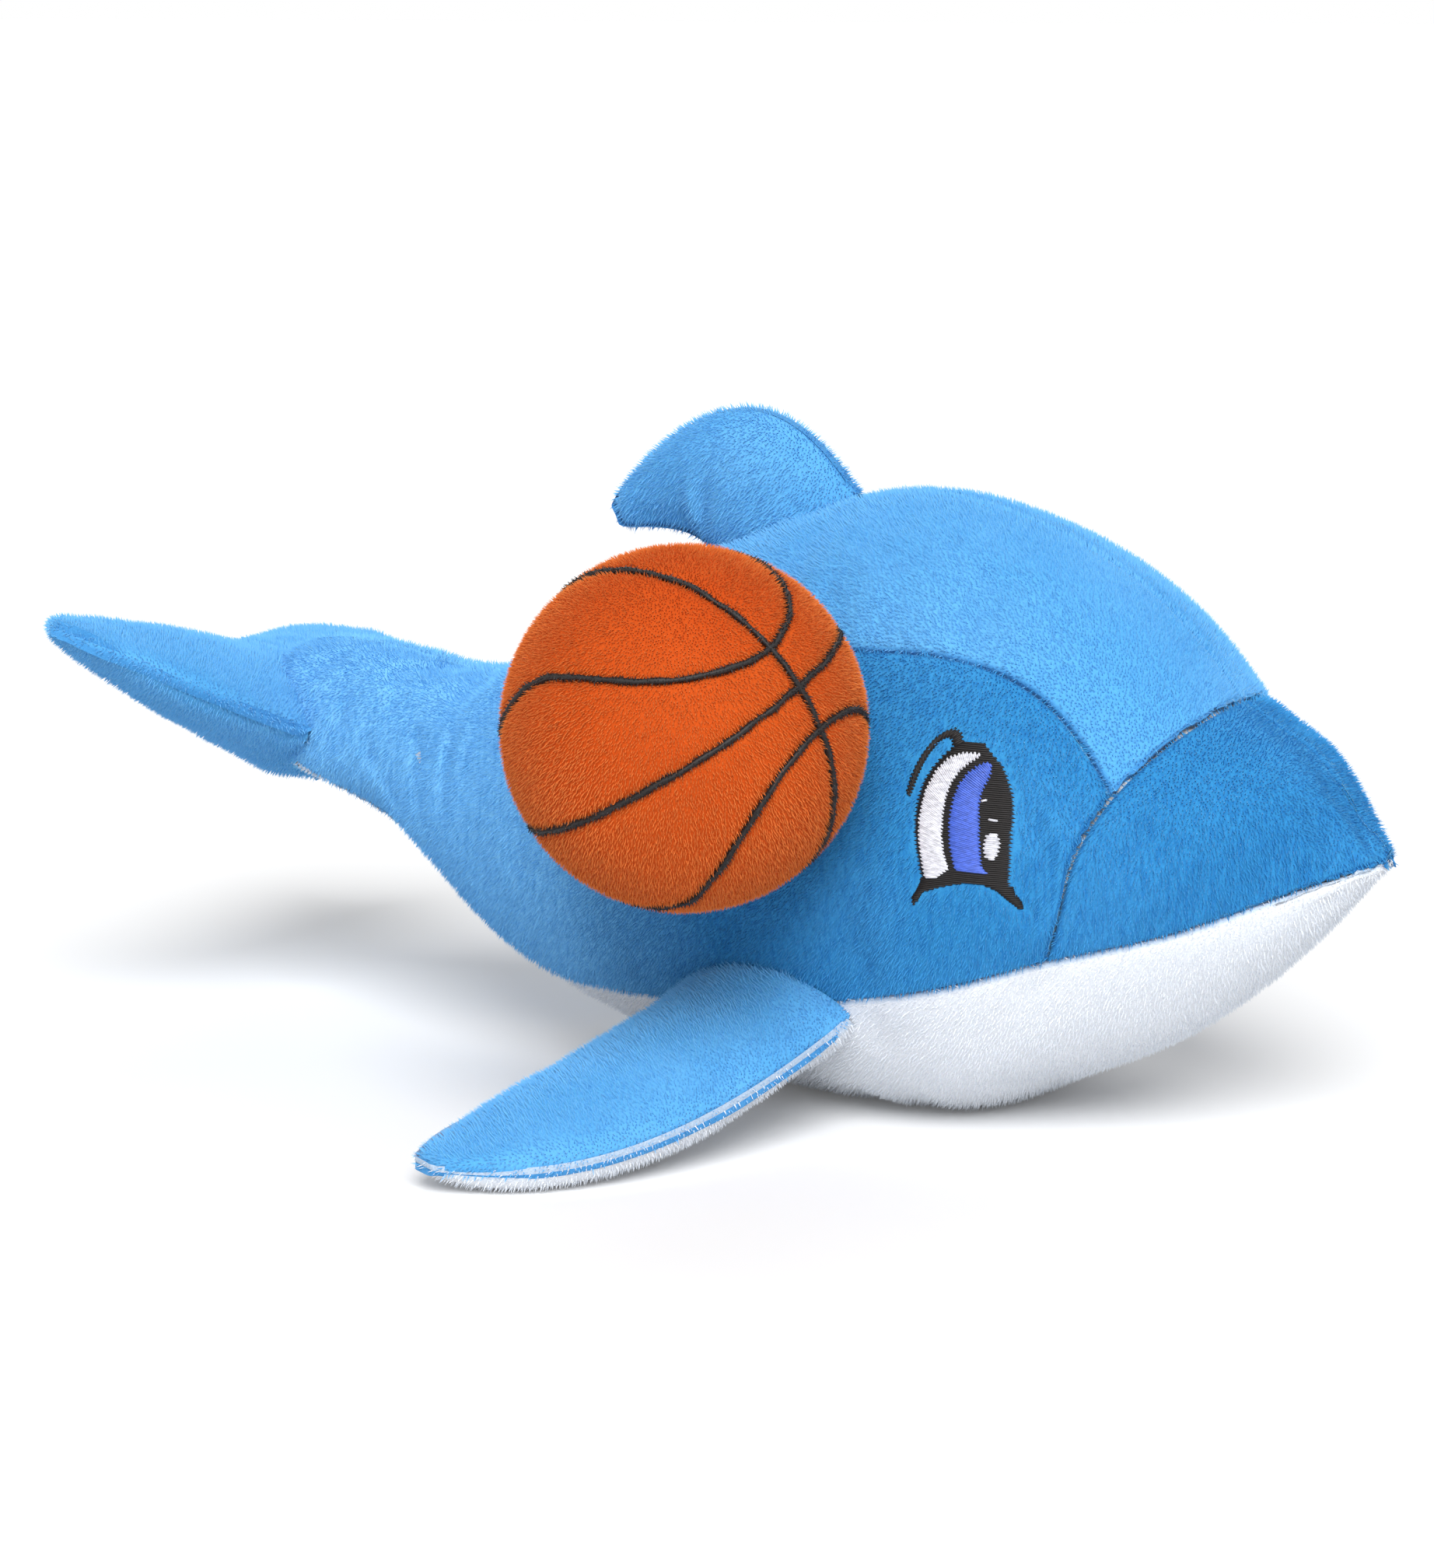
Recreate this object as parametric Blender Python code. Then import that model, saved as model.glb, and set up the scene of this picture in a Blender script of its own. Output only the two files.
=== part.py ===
# Plush dolphin lying on its belly, with a plush ball sewn to its right side.
# Metres, +Z up, +X to the nose, +Y to the dolphin's left. The origin lies in the flat patch of
# belly that the toy rests on.

import math

import bmesh
import bpy
from mathutils import Matrix, Vector
from mathutils.bvhtree import BVHTree

# Cloth, thread and the clearances between neighbours
PLUSH_THICKNESS = 0.0014
SEAM_GAP = 0.0004
SEAT_GAP = 0.0006
STUFFING_GAP = 0.001
THREAD_THICKNESS = 0.0005
THREAD_GAP = 0.0003

# Body
NOSE_X = 0.1235
TAIL_X = -0.205
BODY_HEIGHT = 0.153
BODY_WIDTH = 0.132
FLAT_BELLY_DEPTH = 0.0025
NOSE_ROUND = 0.045
TAIL_ROUND = 0.04

# How fully the two ends are rounded, and how much more a ring leans above its widest line
END_FULLNESS = 2.4
CROWN_LEAN = 1.4

# Shape of the body from tail to nose. Each row holds the share of the length, then the shares of
# the height at the back, the belly and the widest line, then the share of the width, and how far
# the ring leans forward for each metre above its widest line.
BODY_RINGS = [
    (0.000, 0.680, 0.445, 0.562, 0.260, 0.00),
    (0.090, 0.682, 0.415, 0.550, 0.300, 0.00),
    (0.166, 0.660, 0.345, 0.515, 0.380, 0.00),
    (0.226, 0.640, 0.240, 0.480, 0.500, 0.00),
    (0.316, 0.750, 0.125, 0.455, 0.700, 0.00),
    (0.449, 0.905, 0.050, 0.431, 0.870, 0.00),
    (0.566, 0.993, 0.000, 0.418, 0.975, 0.00),
    (0.663, 1.000, 0.000, 0.418, 1.000, 0.00),
    (0.740, 0.895, 0.024, 0.418, 0.985, 0.18),
    (0.815, 0.708, 0.080, 0.420, 0.850, 0.35),
    (0.880, 0.645, 0.150, 0.425, 0.670, 0.36),
    (0.930, 0.603, 0.250, 0.440, 0.490, 0.28),
    (1.000, 0.535, 0.410, 0.470, 0.250, 0.10),
]

# Mesh rings along the body, and how much closer together they lie at its two ends
RING_COUNT = 30
RING_CROWDING = 0.72
STUFFING_SIDES = 26
GUIDE_SIDES = 40

# Seams round the body. The belly seam is given by the share of the body's length and the angle
# above the widest line, the crown seam by the share of the crown's length and the same angle.
BELLY_SEAM = [
    (0.00, -25), (0.10, -62), (0.24, -66), (0.35, -53), (0.45, -41), (0.63, -26), (0.74, -21),
    (0.83, -15), (0.92, -11), (1.00, -3),
]
CROWN_SEAM = [
    (0.00, 86), (0.08, 66), (0.17, 54), (0.31, 46), (0.48, 40), (0.67, 39), (0.84, 46), (0.95, 43),
    (1.00, 36),
]
CROWN_START = 0.29
CROWN_POINT = 0.004
SNOUT_SEAM = 0.815
SKIN_NOSE_END = 0.9995

# Sewn limbs: how squarely a limb is stuffed towards its edges and its tip, where its outline
# ends, and how far the stuffing reaches out and in from the edges, all as shares
LIMB_EDGE_FULLNESS = 2.5
LIMB_TIP_FULLNESS = 4
LIMB_TIP_ROUND = 0.6
LIMB_REACH = 0.985
PAD_REACH = 0.93
PAD_INSET = 0.10

# Dorsal fin. Its place is a share of the body's length, and its other sizes start from the middle
# of its root line, which lies inside the body.
FIN_ALONG = 0.515
FIN_LENGTH = 0.052
FIN_SINK = 0.0175
FIN_PEAK_BACK = 0.013
FIN_PEAK_RISE = 0.0435
FIN_TIP_BACK = 0.060
FIN_TIP_RISE = 0.0175
FIN_TIP_DEPTH = 0.007
FIN_HOOK = 0.004
FIN_THICKNESS = 0.022
FIN_TAPER = 0.4

# Flippers. A place on the body is a share of its length and an angle above its widest line.
FLIPPER_ALONG = 0.584
FLIPPER_ANGLE = -32
FLIPPER_SINK = 0.0095
FLIPPER_SPAN = 0.104
FLIPPER_SWEEP = 0.047
FLIPPER_TIP_RISE = 0.006
FLIPPER_CHORD = 0.049
FLIPPER_LEAD_SHARE = 0.45
FLIPPER_FLARE = 0.75
FLIPPER_THICKNESS = 0.024
FLIPPER_TAPER = 0.3
FLIPPER_DROOP = 0.0055
FLIPPER_LEAD_CURVE = (3.0, 0.6)
FLIPPER_TRAIL_CURVE = (2.0, 0.6)

# Tail flukes
FLUKE_SPAN = 0.078
FLUKE_CHORD = 0.060
FLUKE_LEAD_SHARE = 0.48
FLUKE_SWEEP = 0.018
FLUKE_SINK = 0.004
FLUKE_ROOT_THICKNESS = 0.032
FLUKE_TIP_THICKNESS = 0.010
FLUKE_TAPER_CURVE = 0.8
FLUKE_DIHEDRAL = 10.5
FLUKE_ROLL = 8
FLUKE_PITCH = 18
FLUKE_LEAD_CURVE = (3.0, 0.6)
FLUKE_TRAIL_CURVE = (2.0, 0.6)
FLUKE_LEAD_SWEEP = 1.5
FLUKE_TRAIL_SWEEP = 1.2

# Eyes, embroidered on the side panels
EYE_ALONG = 0.7395
EYE_ANGLE = 16.9
EYE_HEIGHT = 0.039
EYE_WIDTH = 0.030
EYE_CUTS = 7

# Outlines of the eye's stitched fields, as shares of its width forward and of its height upward
EYE_GROUND = [
    (0.06, 0.42), (-0.01, 0.44), (-0.14, 0.44), (-0.29, 0.35), (-0.39, 0.16), (-0.43, 0.03),
    (-0.41, -0.12), (-0.37, -0.29), (-0.31, -0.42), (-0.38, -0.58), (-0.31, -0.50), (-0.12, -0.43),
    (0.06, -0.41), (0.27, -0.44), (0.47, -0.58), (0.40, -0.43), (0.40, -0.07), (0.37, 0.11),
    (0.33, 0.23), (0.22, 0.33),
]
EYE_WHITE = [
    (0.03, 0.35), (-0.12, 0.35), (-0.24, 0.26), (-0.33, 0.14), (-0.37, -0.02), (-0.34, -0.18),
    (-0.29, -0.38), (-0.22, -0.38), (-0.10, -0.34), (-0.16, -0.21), (-0.17, -0.02), (-0.16, 0.11),
    (-0.08, 0.25),
]
EYE_IRIS = [
    (0.15, 0.31), (0.01, 0.26), (-0.07, 0.16), (-0.10, 0.03), (-0.09, -0.16), (-0.04, -0.33),
    (0.19, -0.35), (0.14, -0.25), (0.12, -0.07), (0.11, 0.11), (0.15, 0.20),
]
EYE_SHINE_PLACE = (0.23, -0.18)
EYE_SHINE_SIZE = (0.055, 0.085)
EYE_SHINE_SIDES = 8

# Ball, and the black lines stitched round it. The pole is the middle of its upper cover, and the
# crossing is where its lines meet. The side lines rise from the seam by two angles.
BALL_RADIUS = 0.0425
BALL_ALONG = 0.5923
BALL_ANGLE = 20.9
BALL_POLE = (-0.43, -0.31, 0.85)
BALL_CROSSING = (0.89, -0.30, 0.34)
BALL_SIDES = 22
BALL_RINGS = 14
LINE_RADIUS = 0.0006
LINE_NEAR = 15
LINE_FAR = 47
LINE_POINTS = 32

# Colours and surface
BLUE = (0.05, 0.32, 0.75)
WHITE = (0.80, 0.82, 0.88)
ORANGE = (0.72, 0.16, 0.02)
BLACK = (0.01, 0.01, 0.01)
IRIS_BLUE = (0.05, 0.11, 0.60)
FILL_WHITE = (0.85, 0.85, 0.83)
CLOTH_ROUGHNESS = 0.9
THREAD_ROUGHNESS = 0.4
SHARP_ANGLE = 40


def clear_scene():
    """Starts from an empty scene."""
    for thing in list(bpy.data.objects):
        bpy.data.objects.remove(thing)


def material(name, colour, roughness):
    """A plain cloth or thread material."""
    made = bpy.data.materials.new(name)
    made.use_nodes = True
    shader = made.node_tree.nodes["Principled BSDF"]
    shader.inputs["Base Color"].default_value = (*colour, 1)
    shader.inputs["Roughness"].default_value = roughness
    shader.inputs["Metallic"].default_value = 0
    return made


def add_object(name, mesh, colour, roughness=CLOTH_ROUGHNESS):
    """Turns a bmesh into a named, smooth object with its own material and its faces outwards."""
    bmesh.ops.recalc_face_normals(mesh, faces=list(mesh.faces))
    if mesh.calc_volume(signed=True) < 0:
        bmesh.ops.reverse_faces(mesh, faces=list(mesh.faces))
    data = bpy.data.meshes.new(name)
    mesh.to_mesh(data)
    mesh.free()
    data.shade_smooth()
    data.set_sharp_from_angle(angle=math.radians(SHARP_ANGLE))
    thing = bpy.data.objects.new(name, data)
    bpy.context.collection.objects.link(thing)
    data.materials.append(material(name, colour, roughness))
    return thing


def smooth_value(points, at):
    """Reads a smooth curve through (place, value) points at a place."""
    at = min(max(at, points[0][0]), points[-1][0])
    last = len(points) - 1
    k = next(i for i in range(last) if at <= points[i + 1][0])
    x0, y0 = points[k]
    x1, y1 = points[k + 1]
    before, after = points[max(k - 1, 0)], points[min(k + 2, last)]
    run = x1 - x0
    slope0 = (y1 - before[1]) / (x1 - before[0]) * run
    slope1 = (after[1] - y0) / (after[0] - x0) * run
    t = (at - x0) / run
    near = (2 * t**3 - 3 * t**2 + 1) * y0 + (t**3 - 2 * t**2 + t) * slope0
    return near + (3 * t**2 - 2 * t**3) * y1 + (t**3 - t**2) * slope1


def ring_values(along):
    """Height of the widest line, rise to the back, drop to the belly, half width and lean of the
    ring at a share of the body's length."""
    back, belly, middle, width, lean = (
        smooth_value([(row[0], row[k]) for row in BODY_RINGS], along) for k in range(1, 6)
    )
    length = NOSE_X - TAIL_X
    past_nose = max(0, 1 - (1 - along) * length / NOSE_ROUND)
    past_tail = max(0, 1 - along * length / TAIL_ROUND) ** 2
    rounding = math.sqrt(max(0, 1 - max(past_nose, past_tail) ** END_FULLNESS))
    up = (back - middle) * BODY_HEIGHT * rounding
    down = ((middle - belly) * BODY_HEIGHT + FLAT_BELLY_DEPTH) * rounding
    return middle * BODY_HEIGHT, up, down, width * BODY_WIDTH / 2 * rounding, lean


def body_point(along, angle):
    """A point of the cloth's outer face. The angle is in degrees, 0 at the right side's widest line,
    90 on the back, -90 on the belly and 180 at the left side."""
    middle_z, up, down, half_width, lean = ring_values(along)
    height = math.sin(math.radians(angle))
    rise = height * (up if height > 0 else down)
    forward = lean * rise * (CROWN_LEAN * height if height > 0 else 1)
    x = TAIL_X + (NOSE_X - TAIL_X) * along + forward
    return Vector((x, -math.cos(math.radians(angle)) * half_width, max(middle_z + rise, 0)))


def body_surface(along, angle, outward=0.0):
    """The point that lies a distance outward of the cloth's outer face."""
    step = 0.002
    low, high = max(along - step, 0), min(along + step, 1)
    lengthways = body_point(high, angle) - body_point(low, angle)
    around = body_point(along, angle + 1) - body_point(along, angle - 1)
    normal = lengthways.cross(around).normalized()
    if normal.dot(body_point(along, angle) - body_point(along, angle + 180)) < 0:
        normal.negate()
    return body_point(along, angle) + normal * outward


def ring_place(k):
    """The share of the length at which a mesh ring lies, counted from the tail."""
    turn = 2 * math.pi * k / RING_COUNT
    return (turn - RING_CROWDING * math.sin(turn)) / (2 * math.pi)


def panel_rings(start, stop):
    """The rings of a cut panel: its two ends, and the body's own rings between them."""
    least = 0.1 / RING_COUNT
    places = [ring_place(k) for k in range(RING_COUNT + 1)]
    return [start, *(place for place in places if start + least < place < stop - least), stop]


def seam_clearance(along):
    """Half of the seam gap, as an angle at this ring."""
    _, up, down, half_width, _ = ring_values(along)
    return math.degrees(SEAM_GAP / 2 / max(min((up + down) / 2, half_width), SEAM_GAP))


def extrude_all(mesh):
    """Extrudes every face and gives the corners of the new layer."""
    made = bmesh.ops.extrude_face_region(mesh, geom=list(mesh.faces), use_keep_orig=True)
    return {piece for piece in made["geom"] if isinstance(piece, bmesh.types.BMVert)}


def slab(name, cells, outer, inner, colour):
    """A closed sheet between two faces. Each face is a function of two shares from 0 to 1."""
    mesh = bmesh.new()
    place = mesh.verts.layers.float_vector.new("place")
    bmesh.ops.create_grid(mesh, x_segments=cells[0], y_segments=cells[1], size=0.5)
    for corner in mesh.verts:
        corner[place] = corner.co + Vector((0.5, 0.5, 0))
    raised = extrude_all(mesh)
    for corner in mesh.verts:
        face = inner if corner in raised else outer
        corner.co = face(corner[place].x, corner[place].y)
    return add_object(name, mesh, colour)


def skin_panel(name, cells_round, ends, low_angle, high_angle, colour):
    """One cut panel of the body's cloth, between two rings and two seams."""
    rings = panel_rings(*ends)

    def face(outward):
        def point(s, t):
            along = rings[round(s * (len(rings) - 1))]
            low, high = low_angle(along), high_angle(along)
            return body_surface(along, low + (high - low) * t, outward)

        return point

    slab(name, (len(rings) - 1, cells_round), face(0), face(-PLUSH_THICKNESS), colour)


def belly_seam(along):
    """The angle of the seam between the blue sides and the white belly."""
    return smooth_value(BELLY_SEAM, along)


def crown_seam(along):
    """The angle of the seam that curves over the eye, or of the back's middle behind it."""
    if along <= CROWN_START:
        return 90
    return smooth_value(CROWN_SEAM, (along - CROWN_START) / (SNOUT_SEAM - CROWN_START))


def back_seam(along):
    """The angle of the seam along the back, the same on every ring."""
    return 90


def build_skin():
    """The seven panels that are sewn into the body's skin."""
    gap = SEAM_GAP / 2 / (NOSE_X - TAIL_X)
    for side, name in ((1, "right"), (-1, "left")):

        def edge(line, step, side=side):
            def angle(along):
                at = line(along) + step * seam_clearance(along)
                return at if side > 0 else 180 - at

            return angle

        back = edge(back_seam, -1)
        side_ends = ring_place(1), SNOUT_SEAM - gap
        crown_ends = CROWN_START + CROWN_POINT, SNOUT_SEAM - gap
        snout_ends = SNOUT_SEAM + gap, SKIN_NOSE_END
        below = edge(belly_seam, 1)
        skin_panel(f"side_panel_{name}", 8, side_ends, below, edge(crown_seam, -1), BLUE)
        skin_panel(f"crown_panel_{name}", 5, crown_ends, edge(crown_seam, 1), back, BLUE)
        skin_panel(f"snout_panel_{name}", 8, snout_ends, below, back, BLUE)
    skin_panel(
        "belly_panel", 10, (ring_place(1), SKIN_NOSE_END),
        lambda along: -180 - belly_seam(along) + seam_clearance(along),
        lambda along: belly_seam(along) - seam_clearance(along), WHITE,
    )


def body_form(name, outward, sides, colour):
    """A closed form that follows the body at a distance from its cloth's outer face."""
    mesh = bmesh.new()
    bmesh.ops.create_uvsphere(mesh, u_segments=sides, v_segments=RING_COUNT, radius=1)
    for corner in mesh.verts:
        k = round((1 - math.acos(max(-1, min(1, corner.co.z))) / math.pi) * RING_COUNT)
        angle = math.degrees(math.atan2(corner.co.y, corner.co.x))
        if 0 < k < RING_COUNT:
            corner.co = body_surface(ring_place(k), angle, outward)
        else:
            tip = NOSE_X + outward if k else TAIL_X - outward
            corner.co = Vector((tip, 0, ring_values(ring_place(k))[0]))
    return add_object(name, mesh, colour)


def cut_with(thing, cutter):
    """Trims an object where it would enter the cutter."""
    cut = thing.modifiers.new("seat", "BOOLEAN")
    cut.operation = "DIFFERENCE"
    cut.solver = "EXACT"
    cut.object = cutter


def hide_guide(thing):
    """Marks an object as a guide that isn't built."""
    thing.hide_render = True
    thing.display_type = "WIRE"


def limb(names, colours, cells, plane, outline, depth, cutter, droop=0.0):
    """A flat sewn limb of two cloth panels over a pad of stuffing. The plane maps (out, along, up)
    to the world, the outline gives a point of the plane at two shares, and the depth gives the
    limb's thickness at a share of its reach. A limb that droops sags in its middle, and its
    underside is flat where it lies on the floor."""

    def puff(s, t):
        edge = 1 - abs(2 * t - 1) ** LIMB_EDGE_FULLNESS
        return depth(s) / 2 * edge * (1 - s**LIMB_TIP_FULLNESS) ** LIMB_TIP_ROUND

    def place(s, t, height, floor):
        spot = plane @ Vector((*outline(s, t), height))
        spot.z = max(spot.z - droop * 4 * s * (1 - s), floor)
        return spot

    def cloth(side, extra, floor=0.0):
        return lambda s, t: place(s, t, side * (SEAM_GAP / 2 + extra + puff(s, t)), floor)

    def pad(side, floor=0.0):
        def point(s, t):
            inner_s, inner_t = PAD_REACH * s, PAD_INSET + (1 - 2 * PAD_INSET) * t
            height = max(puff(inner_s, inner_t) + SEAM_GAP / 2 - STUFFING_GAP, SEAM_GAP)
            return place(inner_s, inner_t, side * height, floor)

        return point

    pad_floor = PLUSH_THICKNESS + STUFFING_GAP
    pad_cells = cells[0] - 2, cells[1] - 2
    made = [
        slab(names[0], cells, cloth(1, PLUSH_THICKNESS), cloth(1, 0), colours[0]),
        slab(names[1], cells, cloth(-1, PLUSH_THICKNESS), cloth(-1, 0, PLUSH_THICKNESS), colours[1]),
        slab(names[2], pad_cells, pad(1), pad(-1, pad_floor), FILL_WHITE),
    ]
    for thing in made:
        cut_with(thing, cutter)


def plane_of(origin, out, along, up):
    """The matrix that maps (out, along, up) distances from an origin to the world."""
    return Matrix.Translation(origin) @ Matrix((out, along, up)).transposed().to_4x4()


def square_plane(origin, out, near_along):
    """A plane through the out direction whose other two directions are square to it, upper side up."""
    out = out.normalized()
    up = out.cross(near_along).normalized()
    along = up.cross(out)
    return plane_of(origin, out, along, -up if up.z < 0 else up)


def curve(start, bend, end, s):
    """A point of a curve from start to end that bends towards the middle point."""
    return start * (1 - s) ** 2 + bend * 2 * s * (1 - s) + end * s**2


def rounded(s, shape):
    """An edge that runs level and then rounds in to 0 at the tip."""
    return (1 - s ** shape[0]) ** shape[1]


def build_fin(cutter):
    """The hooked dorsal fin of two panels, sewn into the seam along the back."""
    front, back = Vector((FIN_LENGTH / 2, 0)), Vector((-FIN_LENGTH / 2, 0))
    peak = Vector((-FIN_PEAK_BACK, FIN_PEAK_RISE))
    tip = Vector((-FIN_TIP_BACK, FIN_TIP_RISE))
    tip_under = tip + Vector((FIN_TIP_DEPTH / 2, -FIN_TIP_DEPTH))
    inner_bend = Vector((back.x - FIN_HOOK, tip_under.y + FIN_HOOK))

    def outline(s, t):
        lead = curve(front, 2 * peak - (front + tip) / 2, tip, s)
        trail = curve(back, inner_bend, tip_under, s)
        return lead.lerp(trail, t)

    root = body_point(FIN_ALONG, 90) - Vector((0, 0, FIN_SINK))
    plane = square_plane(root, Vector((1, 0, 0)), Vector((0, 0, 1)))
    names = ["fin_panel_right", "fin_panel_left", "fin_stuffing"]
    limb(
        names, [BLUE, BLUE], (10, 6), plane, outline,
        lambda s: FIN_THICKNESS * (1 - FIN_TAPER * s), cutter,
    )


def build_flippers(cutter):
    """The two flippers, which lie on the floor near their tips."""
    for side, name in ((-1, "right"), (1, "left")):
        angle = FLIPPER_ANGLE if side < 0 else 180 - FLIPPER_ANGLE
        root = body_surface(FLIPPER_ALONG, angle, -FLIPPER_SINK)
        tip = Vector((root.x - FLIPPER_SWEEP, root.y + side * FLIPPER_SPAN, FLIPPER_TIP_RISE))
        length = (tip - root).length

        def outline(s, t, length=length):
            s = s * LIMB_REACH
            front = FLIPPER_CHORD * FLIPPER_LEAD_SHARE * (1 + FLIPPER_FLARE * s)
            lead = front * rounded(s, FLIPPER_LEAD_CURVE)
            trail = -FLIPPER_CHORD * (1 - FLIPPER_LEAD_SHARE) * rounded(s, FLIPPER_TRAIL_CURVE)
            return s * length, lead + (trail - lead) * t

        plane = square_plane(root, tip - root, Vector((1, 0, 0)))
        names = [f"flipper_top_{name}", f"flipper_underside_{name}", f"flipper_stuffing_{name}"]
        limb(
            names, [BLUE, WHITE], (10, 6), plane, outline,
            lambda s: FLIPPER_THICKNESS * (1 - FLIPPER_TAPER * s), cutter, FLIPPER_DROOP,
        )


def build_flukes(cutter):
    """The tail's two flukes, right and left, which meet at the middle of the tail."""
    pitch = math.radians(FLUKE_PITCH)
    along = Vector((math.cos(pitch), 0, -math.sin(pitch)))
    up = Vector((math.sin(pitch), 0, math.cos(pitch)))
    for side, name in ((-1, "right"), (1, "left")):
        tilt = math.radians(FLUKE_DIHEDRAL - side * FLUKE_ROLL)
        out = Vector((0, side * math.cos(tilt), math.sin(tilt)))
        root = Vector((TAIL_X, side * SEAM_GAP, ring_values(0)[0] - FLUKE_SINK))

        def outline(s, t):
            s = s * LIMB_REACH
            lead = FLUKE_CHORD * FLUKE_LEAD_SHARE * rounded(s, FLUKE_LEAD_CURVE)
            lead -= FLUKE_SWEEP * s**FLUKE_LEAD_SWEEP
            trail = -FLUKE_CHORD * (1 - FLUKE_LEAD_SHARE) * rounded(s, FLUKE_TRAIL_CURVE)
            trail -= FLUKE_SWEEP * s**FLUKE_TRAIL_SWEEP
            return s * FLUKE_SPAN, lead + (trail - lead) * t

        def depth(s):
            lost = (FLUKE_ROOT_THICKNESS - FLUKE_TIP_THICKNESS) * s**FLUKE_TAPER_CURVE
            return FLUKE_ROOT_THICKNESS - lost

        names = [f"fluke_top_{name}", f"fluke_underside_{name}", f"fluke_stuffing_{name}"]
        plane = plane_of(root, out, along, up)
        limb(names, [BLUE, BLUE], (9, 6), plane, outline, depth, cutter)


def thread_pad(name, outline, side, heights, guide, colour):
    """A pad of satin stitches on the cheek. The outline is in the cloth's plane, in shares forward
    and up from the eye's middle, and the heights are those of its two faces over the guide."""
    eye = body_point(EYE_ALONG, EYE_ANGLE)
    mesh = bmesh.new()
    corners = [(forward * EYE_WIDTH, 0, up * EYE_HEIGHT) for forward, up in outline]
    mesh.faces.new([mesh.verts.new(corner) for corner in corners])
    for line in range(1 - EYE_CUTS, EYE_CUTS):
        for across in (Vector((1, 0, 0)), Vector((0, 0, 1))):
            everything = list(mesh.verts) + list(mesh.edges) + list(mesh.faces)
            bmesh.ops.bisect_plane(
                mesh, geom=everything, plane_co=across * line * EYE_HEIGHT / EYE_CUTS, plane_no=across
            )
    raised = extrude_all(mesh)
    for corner in mesh.verts:
        start = Vector((eye.x + corner.co.x, side * BODY_WIDTH, eye.z + corner.co.z))
        spot, normal, _, _ = guide.ray_cast(start, Vector((0, -side, 0)))
        corner.co = spot + normal * heights[corner in raised]
    add_object(name, mesh, colour, THREAD_ROUGHNESS)


def build_eyes(guide):
    """The two embroidered eyes: a black ground with white, blue and highlight stitches on it."""
    turns = [2 * math.pi * k / EYE_SHINE_SIDES for k in range(EYE_SHINE_SIDES)]
    shine = [
        (EYE_SHINE_PLACE[0] + EYE_SHINE_SIZE[0] * math.cos(turn),
         EYE_SHINE_PLACE[1] + EYE_SHINE_SIZE[1] * math.sin(turn))
        for turn in turns
    ]
    ground = (0, THREAD_THICKNESS)
    over = (THREAD_THICKNESS + THREAD_GAP, 2 * THREAD_THICKNESS + THREAD_GAP)
    for side, name in ((-1, "right"), (1, "left")):
        thread_pad(f"eye_black_{name}", EYE_GROUND, side, ground, guide, BLACK)
        thread_pad(f"eye_white_{name}", EYE_WHITE, side, over, guide, WHITE)
        thread_pad(f"eye_blue_{name}", EYE_IRIS, side, over, guide, IRIS_BLUE)
        thread_pad(f"eye_shine_{name}", shine, side, over, guide, WHITE)


def ball_frame():
    """The matrix of the ball: its crossing of lines, the side of its seam plane, its pole and its
    middle. The ball touches the body's right side."""
    pole = Vector(BALL_POLE).normalized()
    crossing = Vector(BALL_CROSSING)
    crossing = (crossing - pole * crossing.dot(pole)).normalized()
    centre = body_surface(BALL_ALONG, BALL_ANGLE, SEAT_GAP + BALL_RADIUS)
    return plane_of(centre, crossing, pole.cross(crossing), pole)


def ball_cover(name, side, frame):
    """One half of the ball's cover."""
    mesh = bmesh.new()
    bmesh.ops.create_uvsphere(mesh, u_segments=BALL_SIDES, v_segments=BALL_RINGS, radius=BALL_RADIUS)
    everything = list(mesh.verts) + list(mesh.edges) + list(mesh.faces)
    bmesh.ops.bisect_plane(
        mesh, geom=everything, plane_co=(0, 0, side * SEAM_GAP / 2), plane_no=(0, 0, -side),
        clear_outer=True,
    )
    shrink = 1 - PLUSH_THICKNESS / BALL_RADIUS
    for corner in extrude_all(mesh):
        rim = abs(corner.co.z) < SEAM_GAP
        corner.co = corner.co * Vector((shrink, shrink, 1 if rim else shrink))
    bmesh.ops.transform(mesh, matrix=frame, verts=mesh.verts)
    add_object(name, mesh, ORANGE)


def ball_line(name, frame, latitude, upright=False):
    """One closed cord of black stitches round the ball. The latitude is a function of the turn, and
    an upright line runs over the pole."""
    path = bpy.data.curves.new(name, "CURVE")
    path.dimensions = "3D"
    path.bevel_depth = LINE_RADIUS
    path.bevel_resolution = 0
    spline = path.splines.new("POLY")
    spline.points.add(LINE_POINTS - 1)
    spline.use_cyclic_u = True
    reach = BALL_RADIUS + THREAD_GAP + LINE_RADIUS
    for k, point in enumerate(spline.points):
        turn = 2 * math.pi * k / LINE_POINTS
        rise = math.radians(latitude(turn))
        round_the_pole = Vector((math.cos(turn), math.sin(turn), 0)) * math.cos(rise)
        over_the_pole = Vector((math.cos(turn), 0, math.sin(turn)))
        spot = over_the_pole if upright else round_the_pole + Vector((0, 0, math.sin(rise)))
        point.co = (*(frame @ (spot * reach)), 1)
    cord = bpy.data.objects.new(name, path)
    bpy.context.collection.objects.link(cord)
    graph = bpy.context.evaluated_depsgraph_get()
    solid = bpy.data.meshes.new_from_object(cord.evaluated_get(graph))
    bpy.data.objects.remove(cord)
    line = bpy.data.objects.new(name, solid)
    bpy.context.collection.objects.link(line)
    solid.materials.append(material(name, BLACK, CLOTH_ROUGHNESS))
    return line


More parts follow.
